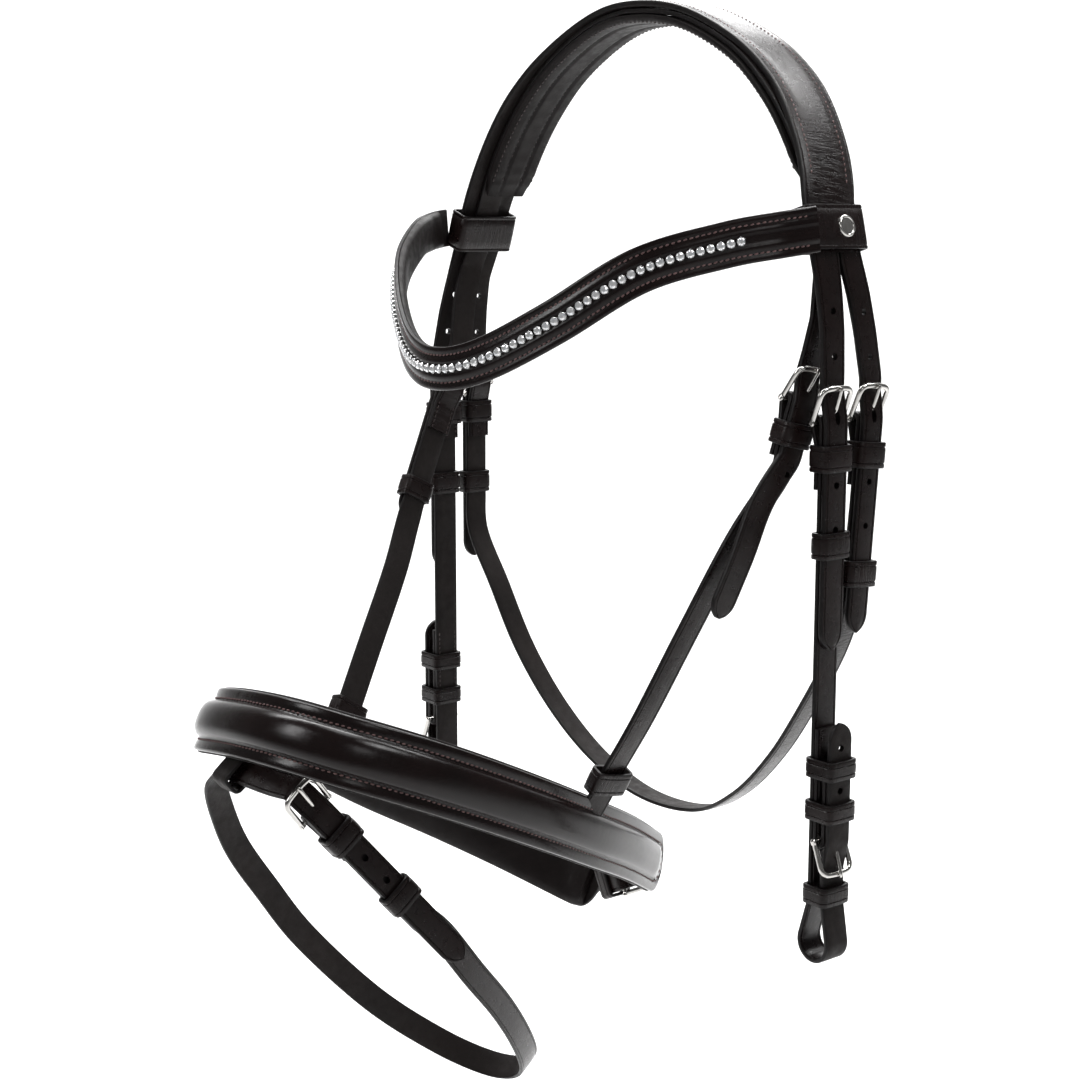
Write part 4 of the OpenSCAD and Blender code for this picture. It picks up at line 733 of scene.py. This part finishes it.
for sg in (-1, 1):
    s = 11.5
    while s < LNT - 11.5:
        off = sg * (15.0 * endround(s) - min(4.6, 15 * endround(s) * 0.34) - 0.5)
        st += seam(S_, W_, N_, off, 2.02, s, s + 0.1, pitch=9, slant=8); s += 2.6
for (sa, dirn) in ((0.0, 1), (LNT, -1)):       # round the ends
    cp_ = sa + dirn * 11.5
    for k in range(0, 9):
        a = -math.pi / 2 + math.pi * k / 8; rr = 9.9
        s = cp_ - dirn * 7.4 * math.cos(a); off = rr * math.sin(a)
        p = np.array([np.interp(s, L_, S_[:, j]) for j in range(3)]); w = unit([np.interp(s, L_, W_[:, j]) for j in range(3)]); n_ = unit([np.interp(s, L_, N_[:, j]) for j in range(3)]); t = np.cross(w, n_) * dirn
        st.append((p + off * w + 2.45 * n_, t * math.sin(a) * 1.0 + w * math.cos(a), n_))
capsules("noseband_stitching", st, "noseband", r=0.38, ln=1.9)
def nl_sec(i):
    f = endround(LN[i + 3], 14.0); h = 15.0 * f
    P = [(-h + 1.6, -3.6), (-h + 3.4, -4.7), (-h * 0.4, -5.0), (0, -5.05), (h * 0.4, -5.0), (h - 3.4, -4.7), (h - 1.0, -3.6), (h + 0.55, -1.9), (h + 0.95, -0.9), (h + 0.8, -0.25), (h + 0.2, 0.0), (-h + 0.2, 0.0), (-h - 0.45, -0.3), (-h - 0.5, -1.0), (-h + 0.1, -2.2)]
    return P, [0] * len(P)
V, Fc, FM, U, S2_, W2_, N2_, L2_ = sweep(NS[3:-3], ND[3:-3], nl_sec)
nl = new_obj("noseband_padding", V, Fc, ["pad"], FM, U, angle=60); put(nl, "noseband", "noseband_lining", slot="pad_leather")
# sewn tabs that carry the hanger sleeves down between the band and its padding
for i, side in enumerate(("near", "far")):
    e = hang_end[i]; d = -hang_dir[i]; j = int(np.argmin(np.linalg.norm(NS - e, axis=1))); tgt = NS[j] + 5.0 * ND[j] * 1.0 - 0.4 * unit(np.cross(tangents(NS)[j], ND[j]))
    pth = smooth([e - d * 9.0, e, e + (tgt - e) * 0.5 + d * 1.5, tgt], 6); s_ = 1 if i == 0 else -1
    strap("hanger_tab_" + side, pth, (0, s_, 0), strap_w + 1.0, 1.7, "noseband", [], soft=1, crease=1.3)

# ------------------------------------------------------------------ chin strap
CFm = F["chin"]; cD = -np.cross(CFm.N, CFm.Z)
strap("chin_tab", [CFm.at(-wrap_r, -14), CFm.at(-wrap_r, -1.5)] + arc(CFm, wrap_r) + [CFm.at(wrap_r, -6), CFm.at(wrap_r, -14)], cD, strap_w, strap_t, "noseband", ["chin_chape"], soft=1)
strap("chin_strap", [CFm.at(in_n, 22.2), CFm.at(in_n, 13), CFm.at(tail_n, 1), CFm.at(tail_n, -14), CFm.at(tail_n, -19.5)], cD, strap_w, billet_t, "noseband", ["chin_billet"], tips=(0, 8), soft=2)

# ------------------------------------------------------------------ flash
FF = F["flash"]; flash_V = unit((0, 0.647, -0.763)); flash_D = np.cross((1, 0, 0), flash_V)
fpts = [A(*p) for p in ((46, -155, -414), (43, -136, -438), (36, -115, -462), (26, -96, -486), (12, -80, -508), (-4, -74, -520), (-20, -82, -521), (-34, -103, -508), (-43, -136, -480), (-47, -172, -440),
  (-46, -194, -409), (-42, -211, -384), (-34, -223, -361), (-23, -231.5, -343), (-11, -233.5, -333.5), (1, -232.5, -332), (12, -230, -333), (22, -225, -335))]
fp = [FF.at(0.1, -26), FF.at(0.1, -10), FF.at(-f_main, -1.5)] + arc(FF, f_main) + [FF.at(f_main, -6), FF.at(f_main, -30), FF.at(f_main, -66)] + \
    smooth([FF.at(f_main, -72)] + fpts + [FF.at(f_in, 16)], 8) + [FF.at(f_in, 12), FF.at(f_tail, 1), FF.at(f_tail, -20), FF.at(f_tail, -66)] + smooth([FF.at(f_tail, -76), FF.at(f_tail - 0.2, -92), FF.at(f_tail - 0.2, -100)], 3)
# punched holes show on the tail; the strap's own slot lies under the tongue
strap("flash_band", fp, flash_D, 13.0, flash_t, "flash", ["flash_strap"], tips=(0, 9), soft=1, crease=1.5, cd=0.38, holes=[(FF.at(f_tail, z), FF.N, 1.5, 1.6, FF.Z, 1.25) for z in (-30, -45)])
ax_ = A(1, -232.5, -332); LFm = Fr(ax_, flash_V, (1, 0, 0))
LFm.N = flash_V; LFm.Z = A(1, 0, 0); LFm.W = flash_D
# loop on the noseband that the flash passes through
a, lo, hi = 9.2, -4.3, 4.3
keeper("flash_loop_ring", LFm, 16.6, -3.7, 3.7, 12, 0, "noseband", ["flash_loop"], wall=1.8, c=0.0, corner=2.4, crease=1.8, cd=0.25, bulge=0.3)

# ------------------------------------------------------------------ camera, lights, stage
cam = bpy.data.cameras.new("camera"); co = bpy.data.objects.new("camera", cam); bpy.context.scene.collection.objects.link(co)
co.location = (0.7035, -0.6128, -0.098); co.rotation_euler = (math.radians(80.5), 0, math.radians(52)); cam.lens = 61.73; cam.sensor_width = 36; cam.clip_start = 0.01; cam.clip_end = 50
bpy.context.scene.camera = co
def floor_mat(nt, b):
    tc = N(nt, "ShaderNodeTexCoord"); n = N(nt, "ShaderNodeTexNoise", Scale=1.2, Detail=2.0); nt.links.new(tc.outputs["Object"], n.inputs["Vector"])
    c = ramp(nt, n.outputs[0], [(0.3, (0.86, 0.86, 0.86)), (0.7, (0.90, 0.90, 0.90))]); nt.links.new(c.outputs[0], b.inputs["Base Color"])
    b.inputs["Roughness"].default_value = 0.85; b.inputs["Specular IOR Level"].default_value = 0.1
M["floor"] = mat("studio_floor", floor_mat)
# a seamless sweep: floor that curves up far behind the bridle
me = bpy.data.meshes.new("studio_sweep"); V = []; Fc = []
prof = [(-3.0, -0.72)] + [(1.6 + 0.0 * k, -0.72) for k in range(1)] + [(1.6 + 1.2 * math.sin(a), -0.72 + 1.2 * (1 - math.cos(a))) for a in np.linspace(0.1, math.pi / 2, 12)] + [(2.8, 3.5)]
dv = A(-math.sin(math.radians(52)), math.cos(math.radians(52)), 0); sv = A(dv[1], -dv[0], 0)
for (d_, z_) in prof:
    for s_ in (-5, 5): V.append(tuple(dv * d_ + sv * s_ + A(0, 0, z_)))
for k in range(len(prof) - 1): Fc.append((2 * k, 2 * k + 1, 2 * k + 3, 2 * k + 2))
me.from_pydata(V, [], Fc); me.materials.append(M["floor"]); me.shade_smooth(); fl = bpy.data.objects.new("studio_sweep", me); bpy.context.scene.collection.objects.link(fl)
def area(name, loc, target, sx, sy, power, color=(1, 1, 1)):
    l = bpy.data.lights.new(name, "AREA"); l.shape = "RECTANGLE"; l.size = sx; l.size_y = sy; l.energy = power; l.color = color
    o = bpy.data.objects.new(name, l); o.location = loc; o.rotation_euler = (Vector(target) - Vector(loc)).to_track_quat("-Z", "Y").to_euler(); bpy.context.scene.collection.objects.link(o); return o
mid_pt = (0, -0.08, -0.26)
area("key", (0.75, 0.10, 0.75), mid_pt, 0.50, 0.35, 6)
area("fill", (-0.15, -1.25, 0.45), mid_pt, 0.30, 0.6, 5)
area("rim", (-0.7, 0.75, 0.5), mid_pt, 0.5, 0.7, 5)
area("top", (0.0, 0.0, 1.2), mid_pt, 0.6, 0.6, 5)
area("camera_side", (1.25, -0.75, 0.35), mid_pt, 0.45, 0.35, 1.2)
area("backlight", tuple(dv * 0.9 + A(0, 0, 1.7)), tuple(dv * 2.2 + A(0, 0, -0.5)), 3.0, 1.0, 80)
area("backlow", tuple(dv * 0.6 + A(0, 0, 1.2)), tuple(dv * 1.1 + A(0, 0, -0.72)), 3.0, 0.4, 30)
w = bpy.data.worlds.new("studio"); bpy.context.scene.world = w; w.use_nodes = True
w.node_tree.nodes["Background"].inputs[0].default_value = (1, 1, 1, 1); w.node_tree.nodes["Background"].inputs[1].default_value = 0.14
bpy.context.scene.view_settings.view_transform = "Standard"; bpy.context.scene.view_settings.look = "None"
bpy.context.scene.view_settings.exposure = 0.0

for n, o in NODES.items():        # whatever is still shown from the solid model
    if not o.hide_render:
        o.data.materials.clear(); o.data.materials.append(M["steel"] if any(k in n for k in ("buckle", "tongue", "stud")) else M["leather"])
bpy.context.view_layer.update()
